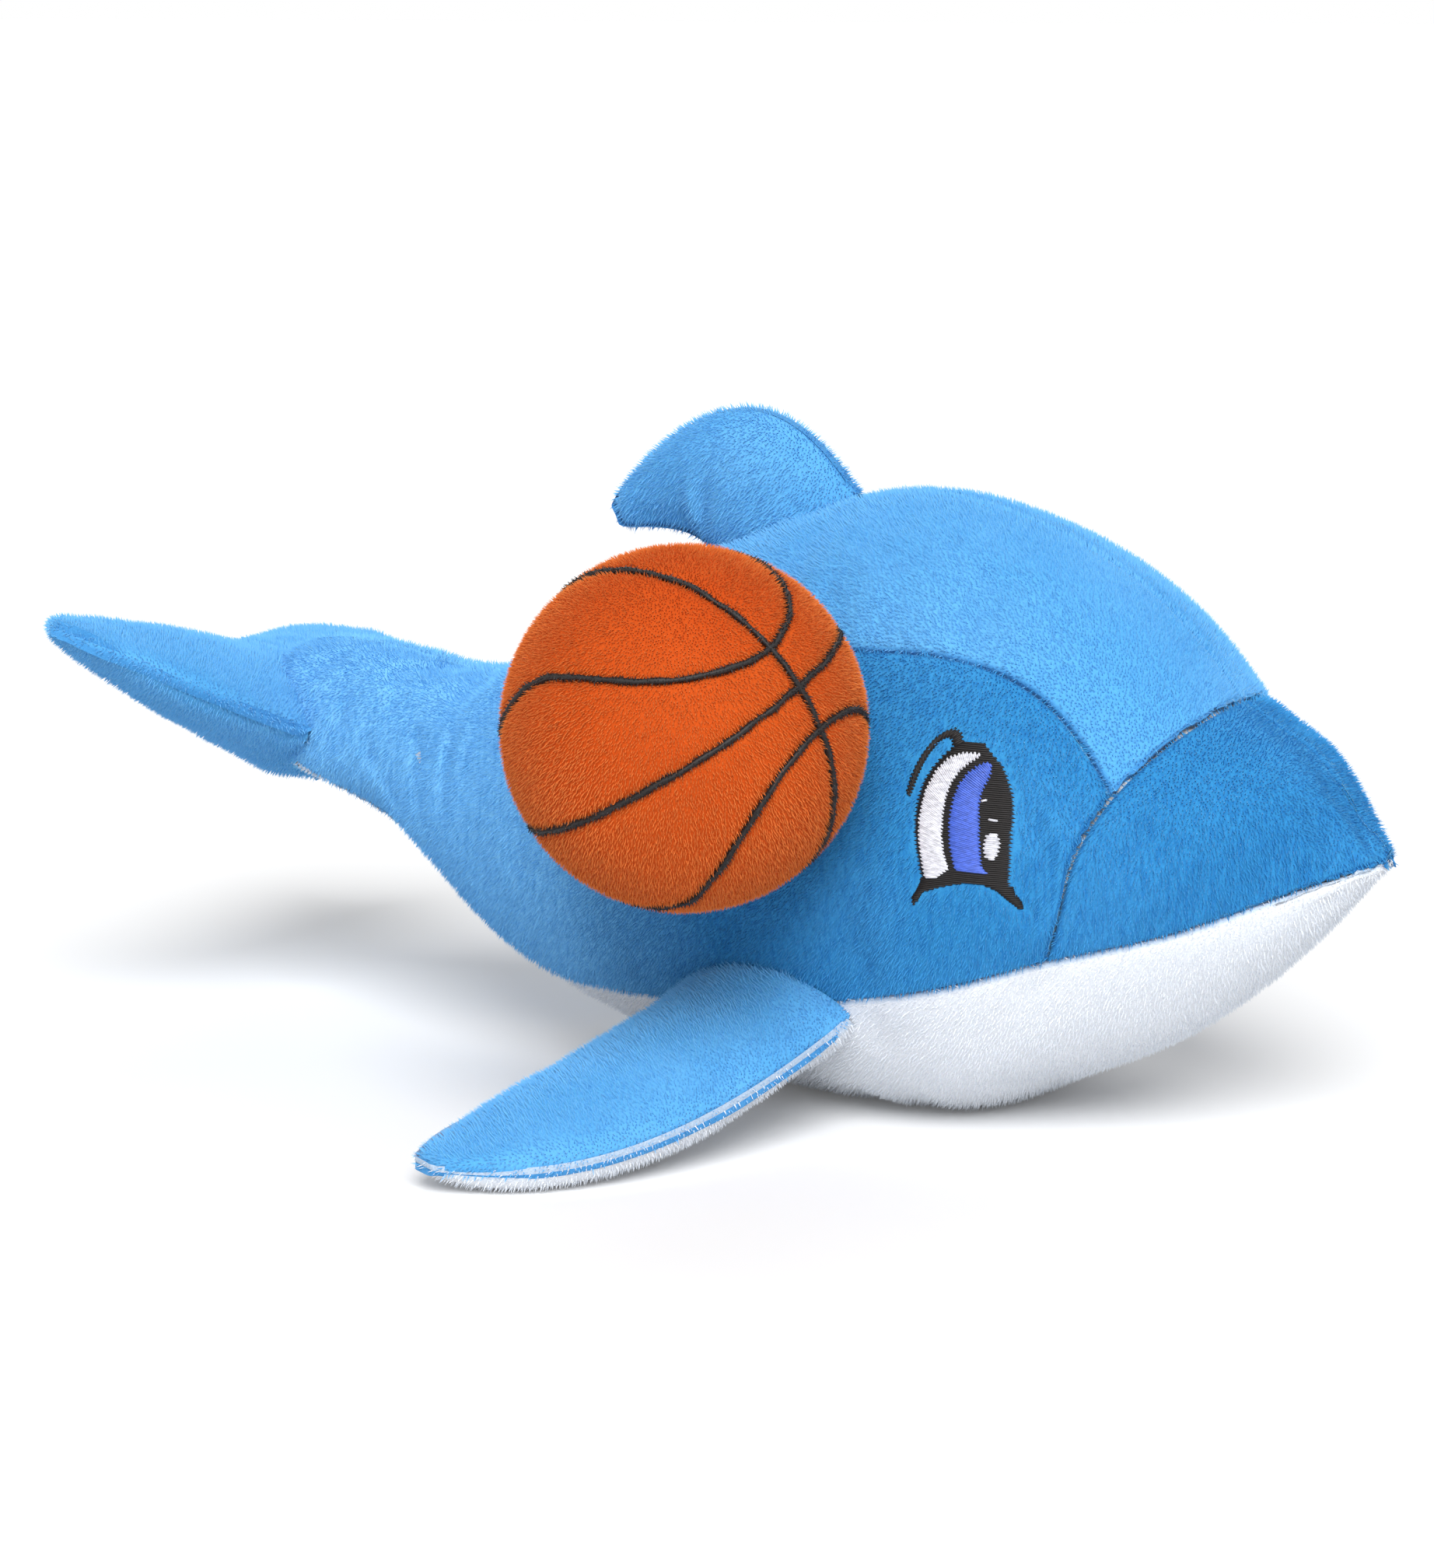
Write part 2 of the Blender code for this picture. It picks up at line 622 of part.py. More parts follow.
def build_ball(cutter):
    """The plush ball: two cover halves sewn together over stuffing, with black stitched lines."""
    frame = ball_frame()
    ball_cover("ball_cover_top", 1, frame)
    ball_cover("ball_cover_bottom", -1, frame)
    mesh = bmesh.new()
    inner = BALL_RADIUS - PLUSH_THICKNESS - STUFFING_GAP
    bmesh.ops.create_uvsphere(mesh, u_segments=BALL_SIDES, v_segments=BALL_RINGS, radius=inner)
    bmesh.ops.transform(mesh, matrix=frame, verts=mesh.verts)
    add_object("ball_stuffing", mesh, FILL_WHITE)

    def side_latitude(turn):
        return LINE_NEAR + (LINE_FAR - LINE_NEAR) * math.sin(turn) ** 2

    lines = ball_line("ball_lines", frame, lambda turn: 0, upright=True)
    others = [
        ball_line("seam_line_guide", frame, lambda turn: 0),
        ball_line("upper_line_guide", frame, side_latitude),
        ball_line("lower_line_guide", frame, lambda turn: -side_latitude(turn)),
    ]
    for other in others:
        hide_guide(other)
        join = lines.modifiers.new("join", "BOOLEAN")
        join.operation = "UNION"
        join.solver = "EXACT"
        join.object = other
    cut_with(lines, cutter)


def main():
    clear_scene()
    build_skin()
    body_form("body_stuffing", -PLUSH_THICKNESS - STUFFING_GAP, STUFFING_SIDES, FILL_WHITE)
    cutter = body_form("seat_guide", SEAT_GAP, GUIDE_SIDES, FILL_WHITE)
    hide_guide(cutter)
    guide = BVHTree.FromPolygons(
        [corner.co for corner in cutter.data.vertices], [face.vertices for face in cutter.data.polygons]
    )
    build_fin(cutter)
    build_flippers(cutter)
    build_flukes(cutter)
    build_eyes(guide)
    build_ball(cutter)


main()
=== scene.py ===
# %% [markdown]
# A plush dolphin, sewn from short-pile plush, lies on its belly with a plush ball at its side.
# The imported model is the fixed frame: each cloth panel, pad and thread that is made here takes
# its place from the solid of the same name. The camera, the light, the colours, the folds and the
# outlines of the eyes are fitted to the photograph.

import math

import bmesh
import bpy
import numpy as np
from mathutils import Matrix, Vector, noise
from mathutils.bvhtree import BVHTree
from mathutils.kdtree import KDTree


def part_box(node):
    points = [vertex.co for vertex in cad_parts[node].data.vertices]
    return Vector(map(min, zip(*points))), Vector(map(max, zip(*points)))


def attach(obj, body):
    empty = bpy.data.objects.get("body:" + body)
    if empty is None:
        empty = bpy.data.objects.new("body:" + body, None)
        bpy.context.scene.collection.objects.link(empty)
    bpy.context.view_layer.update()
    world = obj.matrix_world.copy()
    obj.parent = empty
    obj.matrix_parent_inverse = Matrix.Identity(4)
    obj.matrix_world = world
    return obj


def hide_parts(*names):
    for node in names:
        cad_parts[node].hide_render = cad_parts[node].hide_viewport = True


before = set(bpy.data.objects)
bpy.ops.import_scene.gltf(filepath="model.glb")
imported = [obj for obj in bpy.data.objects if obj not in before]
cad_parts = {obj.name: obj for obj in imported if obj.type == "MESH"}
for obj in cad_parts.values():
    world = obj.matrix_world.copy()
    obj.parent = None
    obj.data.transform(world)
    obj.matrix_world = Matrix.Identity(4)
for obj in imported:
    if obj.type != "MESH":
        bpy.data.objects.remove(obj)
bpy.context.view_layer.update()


def show(thing):
    """Puts an object in the scene."""
    bpy.context.scene.collection.objects.link(thing)


def editable(data):
    """A bmesh copy of a mesh."""
    mesh = bmesh.new()
    mesh.from_mesh(data)
    return mesh


def search_tree(spots):
    """A search tree of points, numbered in their order."""
    tree = KDTree(len(spots))
    for number, spot in enumerate(spots):
        tree.insert(spot, number)
    tree.balance()
    return tree


# %% [markdown]
# The camera stands to the right of the nose, a little above the toy, about an arm and a half
# away. Its place is worked out from the turn and the rise of the line of sight, and from where
# the origin shows in the picture, so that the picture's frame is the photograph's own.

# %% Camera
PICTURE = (1844, 2016)
ORIGIN_AT = (1200, 1400)
METRES_PER_PIXEL = 0.0002
CAMERA_TURN = math.radians(30)
CAMERA_RISE = math.radians(10)
CAMERA_DISTANCE = 1.15
SENSOR = 36


def from_middle(pixel):
    """How far a pixel lies across and above the picture's middle, in metres at the toy."""
    across = (pixel[0] - PICTURE[0] / 2) * METRES_PER_PIXEL
    return across, (PICTURE[1] / 2 - pixel[1]) * METRES_PER_PIXEL


def place_camera():
    """Aims the camera so that the origin shows at its own pixel."""
    turn, rise = CAMERA_TURN, CAMERA_RISE
    right = Vector((math.cos(turn), math.sin(turn), 0))
    back = Vector((math.cos(rise) * math.sin(turn), -math.cos(rise) * math.cos(turn), math.sin(rise)))
    up = back.cross(right)
    across, above = from_middle(ORIGIN_AT)
    eye = bpy.data.cameras.new("camera")
    eye.sensor_fit = "VERTICAL"
    eye.sensor_height = SENSOR
    eye.lens = SENSOR * CAMERA_DISTANCE / (PICTURE[1] * METRES_PER_PIXEL)
    stand = bpy.data.objects.new("camera", eye)
    turned = Matrix((right, up, back)).transposed().to_4x4()
    place = back * CAMERA_DISTANCE - right * across - up * above
    stand.matrix_world = Matrix.Translation(place) @ turned
    show(stand)
    bpy.context.scene.camera = stand
    return eye.lens


bpy.context.scene.view_settings.view_transform = "Standard"
print("lens", round(place_camera(), 1), "mm")

# %% [markdown]
# A material here is a small graph of nodes. A few helpers keep the graphs short to read: they
# start a material, add a node, set constants, do arithmetic, mix colours and read a noise.

# %% Helpers for materials


def new_material(name):
    """A material, its node tree and its main shader."""
    made = bpy.data.materials.new(name)
    made.use_nodes = True
    return made, made.node_tree, made.node_tree.nodes["Principled BSDF"]


def add_node(tree, kind, inputs=None, **settings):
    """A node with its settings. An input is a value or another node's output."""
    made = tree.nodes.new(kind)
    for name, value in settings.items():
        setattr(made, name, value)
    for key, value in (inputs or {}).items():
        if isinstance(value, bpy.types.NodeSocket):
            tree.links.new(value, made.inputs[key])
        else:
            made.inputs[key].default_value = value
    return made


def set_inputs(shader, values):
    """Sets a shader's own constants."""
    for name, value in values.items():
        shader.inputs[name].default_value = value


def math_step(tree, operation, first, second=None):
    """One step of arithmetic in a node tree, on numbers or outputs."""
    inputs = {0: first} if second is None else {0: first, 1: second}
    return add_node(tree, "ShaderNodeMath", inputs, operation=operation).outputs[0]


def mix_colours(tree, factor, first, second, blend="MIX"):
    """The mix of two colours, each an output or a colour."""
    made = add_node(tree, "ShaderNodeMix", data_type="RGBA", blend_type=blend, clamp_factor=True)
    for socket, value in ((made.inputs[0], factor), (made.inputs[6], first), (made.inputs[7], second)):
        if isinstance(value, bpy.types.NodeSocket):
            tree.links.new(value, socket)
        else:
            socket.default_value = value if socket.type == "VALUE" else (*value, 1)
    return made.outputs[2]


def noise_of(tree, scale, detail=3.0, stretch=(1, 1, 1)):
    """A noise on the object's own coordinates, from 0 to 1."""
    place = add_node(tree, "ShaderNodeTexCoord")
    mapped = add_node(tree, "ShaderNodeMapping", {"Vector": place.outputs["Object"], "Scale": stretch})
    made = add_node(
        tree, "ShaderNodeTexNoise", {"Vector": mapped.outputs[0], "Scale": scale, "Detail": detail}
    )
    return made.outputs["Fac"]


def spread(tree, value, low, high, to_low=0.0, to_high=1.0):
    """Stretches a value's range."""
    made = add_node(
        tree, "ShaderNodeMapRange",
        {"Value": value, "From Min": low, "From Max": high, "To Min": to_low, "To Max": to_high},
    )
    return made.outputs[0]


# %% [markdown]
# The floor is white paper under soft studio light. Three broad suns light the toy: the key from
# the front right and above, a low one that fills the belly's shade, and a weak one from behind,
# which brightens the upper edges. A sun has no fall-off, so the floor is evenly lit as far as
# the camera sees. Light Path adds white to the floor and the world for the camera alone, with
# no more light on the toy.

# %% Floor and light
FLOOR_SIZE = 40
FLOOR_LIFT = 0.07
PAPER = (0.86, 0.86, 0.86, 1)
WHITE = (1, 1, 1, 1)
WORLD_STRENGTH = 0.37
SUNS = [
    ("key_sun", (0.7, -1.1, 1.15), 34, 3.2),
    ("fill_sun", (0.5, -1.0, 0.15), 60, 0.55),
    ("back_sun", (-0.5, 0.9, 1.1), 50, 0.5),
]


def seen_directly(tree):
    """1 where the camera sees a surface directly, in a mirror or through glass, and 0 elsewhere."""
    path = add_node(tree, "ShaderNodeLightPath").outputs
    mirrored = math_step(tree, "MAXIMUM", path["Is Camera Ray"], path["Is Glossy Ray"])
    return math_step(tree, "MAXIMUM", mirrored, path["Is Transmission Ray"])


def make_floor():
    """The paper that the toy lies on."""
    mesh = bmesh.new()
    bmesh.ops.create_grid(mesh, x_segments=1, y_segments=1, size=FLOOR_SIZE)
    data = bpy.data.meshes.new("floor")
    mesh.to_mesh(data)
    mesh.free()
    floor = bpy.data.objects.new("floor", data)
    show(floor)
    made, tree, shader = new_material("white_paper")
    set_inputs(
        shader, {"Base Color": PAPER, "Roughness": 1, "Specular IOR Level": 0, "Emission Color": WHITE}
    )
    lift = math_step(tree, "MULTIPLY", seen_directly(tree), FLOOR_LIFT)
    tree.links.new(lift, shader.inputs["Emission Strength"])
    data.materials.append(made)


def make_world():
    """A plain pale world, white where it is seen."""
    world = bpy.data.worlds.new("studio")
    world.use_nodes = True
    bpy.context.scene.world = world
    tree = world.node_tree
    sky = tree.nodes["Background"]
    strength = spread(tree, seen_directly(tree), 0, 1, WORLD_STRENGTH, 1)
    sky.inputs["Color"].default_value = WHITE
    tree.links.new(strength, sky.inputs["Strength"])


def make_suns():
    """The broad, soft suns."""
    for name, place, softness, strength in SUNS:
        lamp = bpy.data.lights.new(name, "SUN")
        lamp.angle = math.radians(softness)
        lamp.energy = strength
        stand = bpy.data.objects.new(name, lamp)
        stand.location = place
        stand.rotation_euler = (-Vector(place)).to_track_quat("-Z", "Y").to_euler()
        show(stand)


make_floor()
make_world()
make_suns()
print("suns", len(SUNS))

# %% [markdown]
# Each plush panel starts as the outer face of its solid. The solid's mesh is loose triangles, so
# a copy is merged first. Its inner face and its rim are left out, and pairs of triangles become
# four-sided faces, which subdivide smoothly. On a body panel a face of the cloth has the other
# side of the cloth straight behind it, and a rim face has none. A limb's panel is nearly flat, so
# its rim is what stands upright on it, and its two sides look opposite ways. Of the faces left,
# the outer ones look away from the stuffing.

# %% Sheets of cloth from the solids
PLUSH_THICKNESS = 0.0014
MERGE_DISTANCE = 0.00002
FACING = 0.9
UPRIGHT = 0.3
GROW_ANGLE = math.radians(35)
GROW_STEPS = 3
HOLE_SIDES = 8
CORNER_TURN = math.radians(40)


def merged_copy(node):
    """A merged copy of a solid's loose triangles."""
    mesh = editable(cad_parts[node].data)
    bmesh.ops.remove_doubles(mesh, verts=mesh.verts, dist=MERGE_DISTANCE)
    return mesh


def body_cloth_faces(mesh):
    """The faces that have the other side of the cloth straight behind them."""
    tree = BVHTree.FromBMesh(mesh)
    found = []
    for face in mesh.faces:
        start = face.calc_center_median() - face.normal * MERGE_DISTANCE
        spot, normal, _, _ = tree.ray_cast(start, -face.normal, 2 * PLUSH_THICKNESS)
        if spot is not None and abs(normal.dot(face.normal)) > FACING:
            found.append(face)
    return found


def stuffing_middle(node):
    """The middle of the stuffing that a panel covers."""
    limb, side = node.split("_")[0], node.split("_")[-1]
    names = [f"{limb}_stuffing_{side}", f"{limb}_stuffing", "body_stuffing"]
    low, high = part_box(next(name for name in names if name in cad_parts))
    return (low + high) / 2


def outward_size(patch, middle):
    """How much a patch of faces looks away from the stuffing."""
    return sum(face.calc_area() * face.normal.dot(face.calc_center_median() - middle) for face in patch)


def limb_cloth_faces(mesh, middle):
    """The faces on the outer side of a nearly flat panel that don't stand upright on it."""
    spread_of_normals = np.zeros((3, 3))
    for face in mesh.faces:
        spread_of_normals += np.outer(face.normal, face.normal) * face.calc_area()
    up = Vector(np.linalg.eigh(spread_of_normals)[1][:, -1])
    sides = [[face for face in mesh.faces if face.normal.dot(way) > UPRIGHT] for way in (up, -up)]
    return max(sides, key=lambda faces: outward_size(faces, middle))


def outer_patch(faces, middle):
    """The connected patch that looks away from the stuffing: a panel's outer face."""
    left, patches = set(faces), []
    while left:
        waiting, patch = [left.pop()], []
        while waiting:
            face = waiting.pop()
            patch.append(face)
            beside = {other for edge in face.edges for other in edge.link_faces} & left
            left -= beside
            waiting += beside
        patches.append(patch)
    return max(patches, key=lambda patch: outward_size(patch, middle))


def new_piece(name, mesh):
    """A piece from a bmesh, smooth and in the scene."""
    data = bpy.data.meshes.new(name)
    mesh.to_mesh(data)
    mesh.free()
    data.shade_smooth()
    piece = bpy.data.objects.new(name, data)
    show(piece)
    return piece


def grown(patch):
    """A patch with the faces that carry on smoothly from it."""
    found, front = set(patch), set(patch)
    for _ in range(GROW_STEPS):
        front = {
            other for face in front for edge in face.edges for other in edge.link_faces
            if other not in found and face.normal.angle(other.normal, math.pi) < GROW_ANGLE
        }
        found |= front
    return found


def keep_corners(mesh):
    """Marks the sharp corners of a sheet's border, so that they stay sharp."""
    crease = mesh.verts.layers.float.new("crease_vert")
    for corner in mesh.verts:
        ways = [edge.other_vert(corner).co - corner.co for edge in corner.link_edges if edge.is_boundary]
        if len(ways) == 2 and ways[0].angle(ways[1], math.pi) < math.pi - CORNER_TURN:
            corner[crease] = 1


def outer_sheet(name, node, is_limb):
    """A clean sheet on the outer face of a panel's solid."""
    mesh = merged_copy(node)
    middle = stuffing_middle(node)
    cloth = limb_cloth_faces(mesh, middle) if is_limb else body_cloth_faces(mesh)
    keep = set(outer_patch(cloth, middle))
    if not is_limb:
        keep = grown(keep)
    bmesh.ops.delete(mesh, geom=[face for face in mesh.faces if face not in keep], context="FACES")
    bmesh.ops.holes_fill(mesh, edges=mesh.edges, sides=HOLE_SIDES)
    if not is_limb:
        keep_corners(mesh)
    bmesh.ops.join_triangles(
        mesh, faces=mesh.faces, angle_face_threshold=math.radians(50),
        angle_shape_threshold=math.radians(70),
    )
    return new_piece(name, mesh)


def apply_modifiers(piece):
    """Keeps what the modifiers make as the piece's own mesh."""
    graph = bpy.context.evaluated_depsgraph_get()
    made = bpy.data.meshes.new_from_object(piece.evaluated_get(graph))
    piece.modifiers.clear()
    old = piece.data
    piece.data = made
    bpy.data.meshes.remove(old)
    made.name = piece.name


def subdivide(piece, levels, is_limb):
    """Subdivides a piece smoothly. A body panel keeps its corners, which meet other panels."""
    finer = piece.modifiers.new("finer", "SUBSURF")
    finer.levels = levels
    finer.render_levels = levels
    finer.boundary_smooth = "ALL" if is_limb else "PRESERVE_CORNERS"
    apply_modifiers(piece)


# Each panel: its solid, whether it is a limb's, its colour, the way its pile lies, and its levels
# of subdivision before and after it is stuffed
PANELS = [
    (f"{part}_{side}", is_limb, colour, nap, levels)
    for side in ("right", "left")
    for part, is_limb, colour, nap, levels in (
        ("side_panel", False, "blue", (-0.25, 0, -1), (2, 1)),
        ("crown_panel", False, "blue", (-1, 0, 0.1), (2, 1)),
        ("snout_panel", False, "blue", (-0.4, 0, -1), (2, 1)),
        ("fin_panel", True, "blue", (-0.6, 0, -1), (1, 1)),
        ("flipper_top", True, "blue", (-1, 0, -0.3), (1, 1)),
        ("flipper_underside", True, "white", (-1, 0, 0), (1, 1)),
        ("fluke_top", True, "blue", (-1, 0, -0.2), (1, 1)),
        ("fluke_underside", True, "blue", (-1, 0, -0.2), (1, 1)),
    )
] + [("belly_panel", False, "white", (-1, 0, 0), (2, 1))]

sheets = {}
for node, is_limb, _, _, levels in PANELS:
    sheets[node] = outer_sheet(node.replace("panel", "plush") + "_cloth", node, is_limb)
    subdivide(sheets[node], levels[0], is_limb)
    print(node, "faces", len(sheets[node].data.polygons))

# %% [markdown]
# Stuffing presses the cloth outwards while the seams hold it, which crowns every panel. Cloth
# simulation does the same: the seam's points are pinned, a pressure swells the sheet for twenty
# frames, and the result is kept. No point may move further than a cap, so the toy keeps the
# size of its solids. All sheets are simulated together.

# %% Stuff the panels
PRESSURE = 4
SIM_FRAMES = 20
SWELL_CAP = 0.0012
SIM_MASS = 0.1
SHRINK = -0.01


def border_of(piece):
    """The numbers of the points on a sheet's border."""
    mesh = editable(piece.data)
    found = [corner.index for corner in mesh.verts if corner.is_boundary]
    mesh.free()
    return found


def stuff(pieces):
    """Swells pinned sheets with cloth simulation, and caps how far each point moves."""
    scene = bpy.context.scene
    before = {}
    for piece in pieces:
        pinned = piece.vertex_groups.new(name="pinned")
        pinned.add(border_of(piece), 1.0, "REPLACE")
        cloth = piece.modifiers.new("stuffing", "CLOTH")
        cloth.settings.mass = SIM_MASS
        cloth.settings.use_pressure = True
        cloth.settings.uniform_pressure_force = PRESSURE
        cloth.settings.vertex_group_mass = "pinned"
        cloth.settings.effector_weights.gravity = 0
        cloth.settings.shrink_min = SHRINK
        cloth.point_cache.frame_start = 1
        cloth.point_cache.frame_end = SIM_FRAMES
        before[piece.name] = [corner.co.copy() for corner in piece.data.vertices]
    for number in range(1, SIM_FRAMES + 1):
        scene.frame_set(number)
    for piece in pieces:
        apply_modifiers(piece)
        piece.vertex_groups.clear()
        furthest = 0
        for corner, old in zip(piece.data.vertices, before[piece.name]):
            move = corner.co - old
            furthest = max(furthest, move.length)
            if move.length > SWELL_CAP:
                corner.co = old + move * (SWELL_CAP / move.length)
        print(piece.name, "swells", round(furthest * 1000, 2), "mm before the cap")
    scene.frame_set(1)


stuff(list(sheets.values()))

# %% [markdown]
# A seam pulls the cloth in like the edge of a pillow, and the cloth's own edge is turned inwards
# along it. So its points near the border are drawn in along a quarter round, and the border is
# extruded inwards and a little outwards as the seam allowance, which closes the gap between two
# panels. A body panel is drawn in along its normals, and narrow rings of faces make its border
# crisp. A limb's two panels lie flat on each other, so each is drawn towards the other, but at
# its root a limb is sewn to the body, so its cloth carries on into the body's pile.

# %% Pull the seams in
BORDER_RINGS = (0.0003, 0.0005)
BODY_SEAM = (0.0009, 0.0020)
LIMB_SEAM = (0.0019, 0.0038)
ALLOWANCE = 0.0010
GAP_COVER = 0.0007
ROOT_REACH = 0.0045
ROOT_COVER = 0.0018
FLOOR_CLEAR = 0.0002
SEAM_SHADE_WIDTH = 0.0012

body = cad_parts["body_stuffing"].data
body_tree = BVHTree.FromPolygons(
    [corner.co for corner in body.vertices], [face.vertices for face in body.polygons]
)


def at_root(spot):
    """Says whether a point of a limb's border lies against the body."""
    return body_tree.find_nearest(spot)[3] < ROOT_REACH


def border_tree(piece, is_limb):
    """A search tree of a sheet's border points, without those of a limb's root."""
    spots = [piece.data.vertices[number].co.copy() for number in border_of(piece)]
    return search_tree([spot for spot in spots if not (is_limb and at_root(spot))])


def ring_border(piece):
    """Adds narrow rings of faces along a sheet's border."""
    mesh = editable(piece.data)
    inner = list(mesh.faces)
    for width in BORDER_RINGS:
        bmesh.ops.inset_region(
            mesh, faces=inner, thickness=width, use_boundary=True, use_even_offset=False
        )
    mesh.to_mesh(piece.data)
    mesh.free()


def quarter_round(distance, depth, width):
    """How far a point is drawn in at a distance from the seam."""
    share = max(0, 1 - distance / width)
    return depth * (1 - math.sqrt(1 - share**2))


def sew(piece, is_limb):
    """Draws a sheet's borders in and turns its edges inwards."""
    if not is_limb:
        ring_border(piece)
    tree = border_tree(piece, is_limb)
    data = piece.data
    normals = [corner.normal.copy() for corner in data.vertices]
    flat_normal = sum((face.normal * face.area for face in data.polygons), Vector()).normalized()
    depth, width = LIMB_SEAM if is_limb else BODY_SEAM
    # How near each point is to the seam: for painted shade in the seam's crease and for thinner pile
    near_seam = data.attributes.new("seam", "FLOAT", "POINT")
    for corner, normal in zip(data.vertices, normals):
        distance = tree.find(corner.co)[2]
        near_seam.data[corner.index].value = math.exp(-((distance / SEAM_SHADE_WIDTH) ** 2))
        inward = flat_normal if is_limb else normal
        corner.co = corner.co - inward * quarter_round(distance, depth, width)
    mesh = editable(data)
    edges = [edge for edge in mesh.edges if edge.is_boundary]
    made = bmesh.ops.extrude_edge_only(mesh, edges=edges)
    for corner in made["geom"]:
        if isinstance(corner, bmesh.types.BMVert):
            start = next(edge.other_vert(corner) for edge in corner.link_edges if not edge.is_boundary)
            beside = [face for face in start.link_faces if corner not in face.verts]
            ring = {face.calc_center_median().freeze() for face in beside}
            outward = (start.co - sum(ring, Vector()) / len(ring)).normalized() if ring else Vector()
            if is_limb and at_root(start.co):
                corner.co += outward * ROOT_COVER
            else:
                corner.co += outward * GAP_COVER - normals[start.index] * ALLOWANCE
    for corner in mesh.verts:
        corner.co.z = max(corner.co.z, FLOOR_CLEAR)
    mesh.to_mesh(data)
    mesh.free()
    data.shade_smooth()


for node, is_limb, _, _, levels in PANELS:
    subdivide(sheets[node], levels[1], is_limb)
    sew(sheets[node], is_limb)

# %% [markdown]
# The tail and the fin are gathered where they narrow, which leaves soft folds in the plush. Each
# fold is a short line of points that are read off the photograph, and a ray from the camera finds
# each point's place on the cloth. The cloth near the line then rises or sinks with a soft round
# section, and the other side of the toy gets the mirrored folds.

# %% Soft folds
FOLD_STEPS = 16
FOLD_REACH = 3
FOLD_ENDS = 0.35
FOLD_MIDDLE = 0.65
TAIL_FOLDS = [
    (-0.0011, 0.0030, [(535, 905), (535, 960), (537, 1010), (545, 1062)]),
    (0.0008, 0.0022, [(584, 925), (567, 959), (559, 990), (550, 1030)]),
    (-0.0009, 0.0022, [(592, 915), (580, 966), (571, 1014), (572, 1060)]),
    (0.0011, 0.0034, [(634, 885), (607, 920), (595, 950), (588, 985), (590, 1040)]),
    (0.0006, 0.0030, [(498, 880), (489, 930), (494, 985)]),
    (-0.0008, 0.0040, [(450, 860), (440, 905), (437, 950)]),
]
FIN_FOLDS = [
    (0.0011, 0.0018, [(888, 612), (889, 643), (898, 671), (911, 688)]),
    (0.0010, 0.0018, [(934, 620), (924, 653), (918, 687)]),
    (-0.0009, 0.0020, [(904, 620), (905, 655), (914, 686)]),
    (-0.0010, 0.0026, [(870, 625), (878, 660), (898, 684)]),
]


def camera_ray(pixel):
    """The camera's place, and the way from it through a pixel of the photograph."""
    stand = bpy.context.scene.camera
    way = stand.matrix_world.to_3x3() @ Vector((*from_middle(pixel), -CAMERA_DISTANCE))
    return stand.matrix_world.translation, way.normalized()


def sheet_surface(nodes):
    """One search tree of the named sheets."""
    corners, faces = [], []
    for node in nodes:
        data = sheets[node].data
        start = len(corners)
        corners += [corner.co.copy() for corner in data.vertices]
        faces += [[start + number for number in face.vertices] for face in data.polygons]
    return BVHTree.FromPolygons(corners, faces)


def fold_points(surface, pixels):
    """Even points of a fold's line on the cloth, each with its share of the fold's depth."""
    spots = [surface.ray_cast(*camera_ray(pixel))[0] for pixel in pixels]
    spots = [spot for spot in spots if spot]
    points = []
    for step in range(FOLD_STEPS + 1):
        at = step / FOLD_STEPS * (len(spots) - 1)
        first = min(int(at), len(spots) - 2)
        spot = spots[first].lerp(spots[first + 1], at - first)
        points.append((spot, math.sin(math.pi * step / FOLD_STEPS)))
    return points


def press_folds(folds, nodes):
    """Raises or sinks the cloth along each fold, on the named sheets and on their mirror."""
    surface = sheet_surface([f"{node}_right" for node in nodes])
    for depth, width, pixels in folds:
        points = fold_points(surface, pixels)
        for side, side_name in ((1, "right"), (-1, "left")):
            tree = search_tree([Vector((spot.x, side * spot.y, spot.z)) for spot, _ in points])
            for node in nodes:
                data = sheets[f"{node}_{side_name}"].data
                normals = [corner.normal.copy() for corner in data.vertices]
                for corner, normal in zip(data.vertices, normals):
                    _, number, distance = tree.find(corner.co)
                    if distance < FOLD_REACH * width:
                        height = depth * (FOLD_ENDS + FOLD_MIDDLE * points[number][1])
                        corner.co += normal * height * math.exp(-((distance / width) ** 2))


press_folds(TAIL_FOLDS, ["side_panel"])
press_folds(FIN_FOLDS, ["fin_panel"])
print("folds", len(TAIL_FOLDS) + len(FIN_FOLDS))

# %% [markdown]
# The ball is a sphere whose middle and size are read from its solids. Its black lines are two
# great circles and two curved lines, stitched down so that they lie in shallow grooves.

# %% The ball's cloth
BALL_POLE = Vector((-0.43, -0.31, 0.85)).normalized()
BALL_CROSSING = Vector((0.89, -0.30, 0.34))
LINE_NEAR = math.radians(15)
LINE_FAR = math.radians(47)
LINE_STEPS = 180
GROOVE_DEPTH = 0.0009
GROOVE_WIDTH = 0.0014

ball_low, ball_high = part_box("ball_stuffing")
ball_middle = (ball_low + ball_high) / 2
ball_radius = max(
    (corner.co - ball_middle).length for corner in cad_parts["ball_cover_top"].data.vertices
)
print("ball", round(ball_radius * 2000), "mm across")


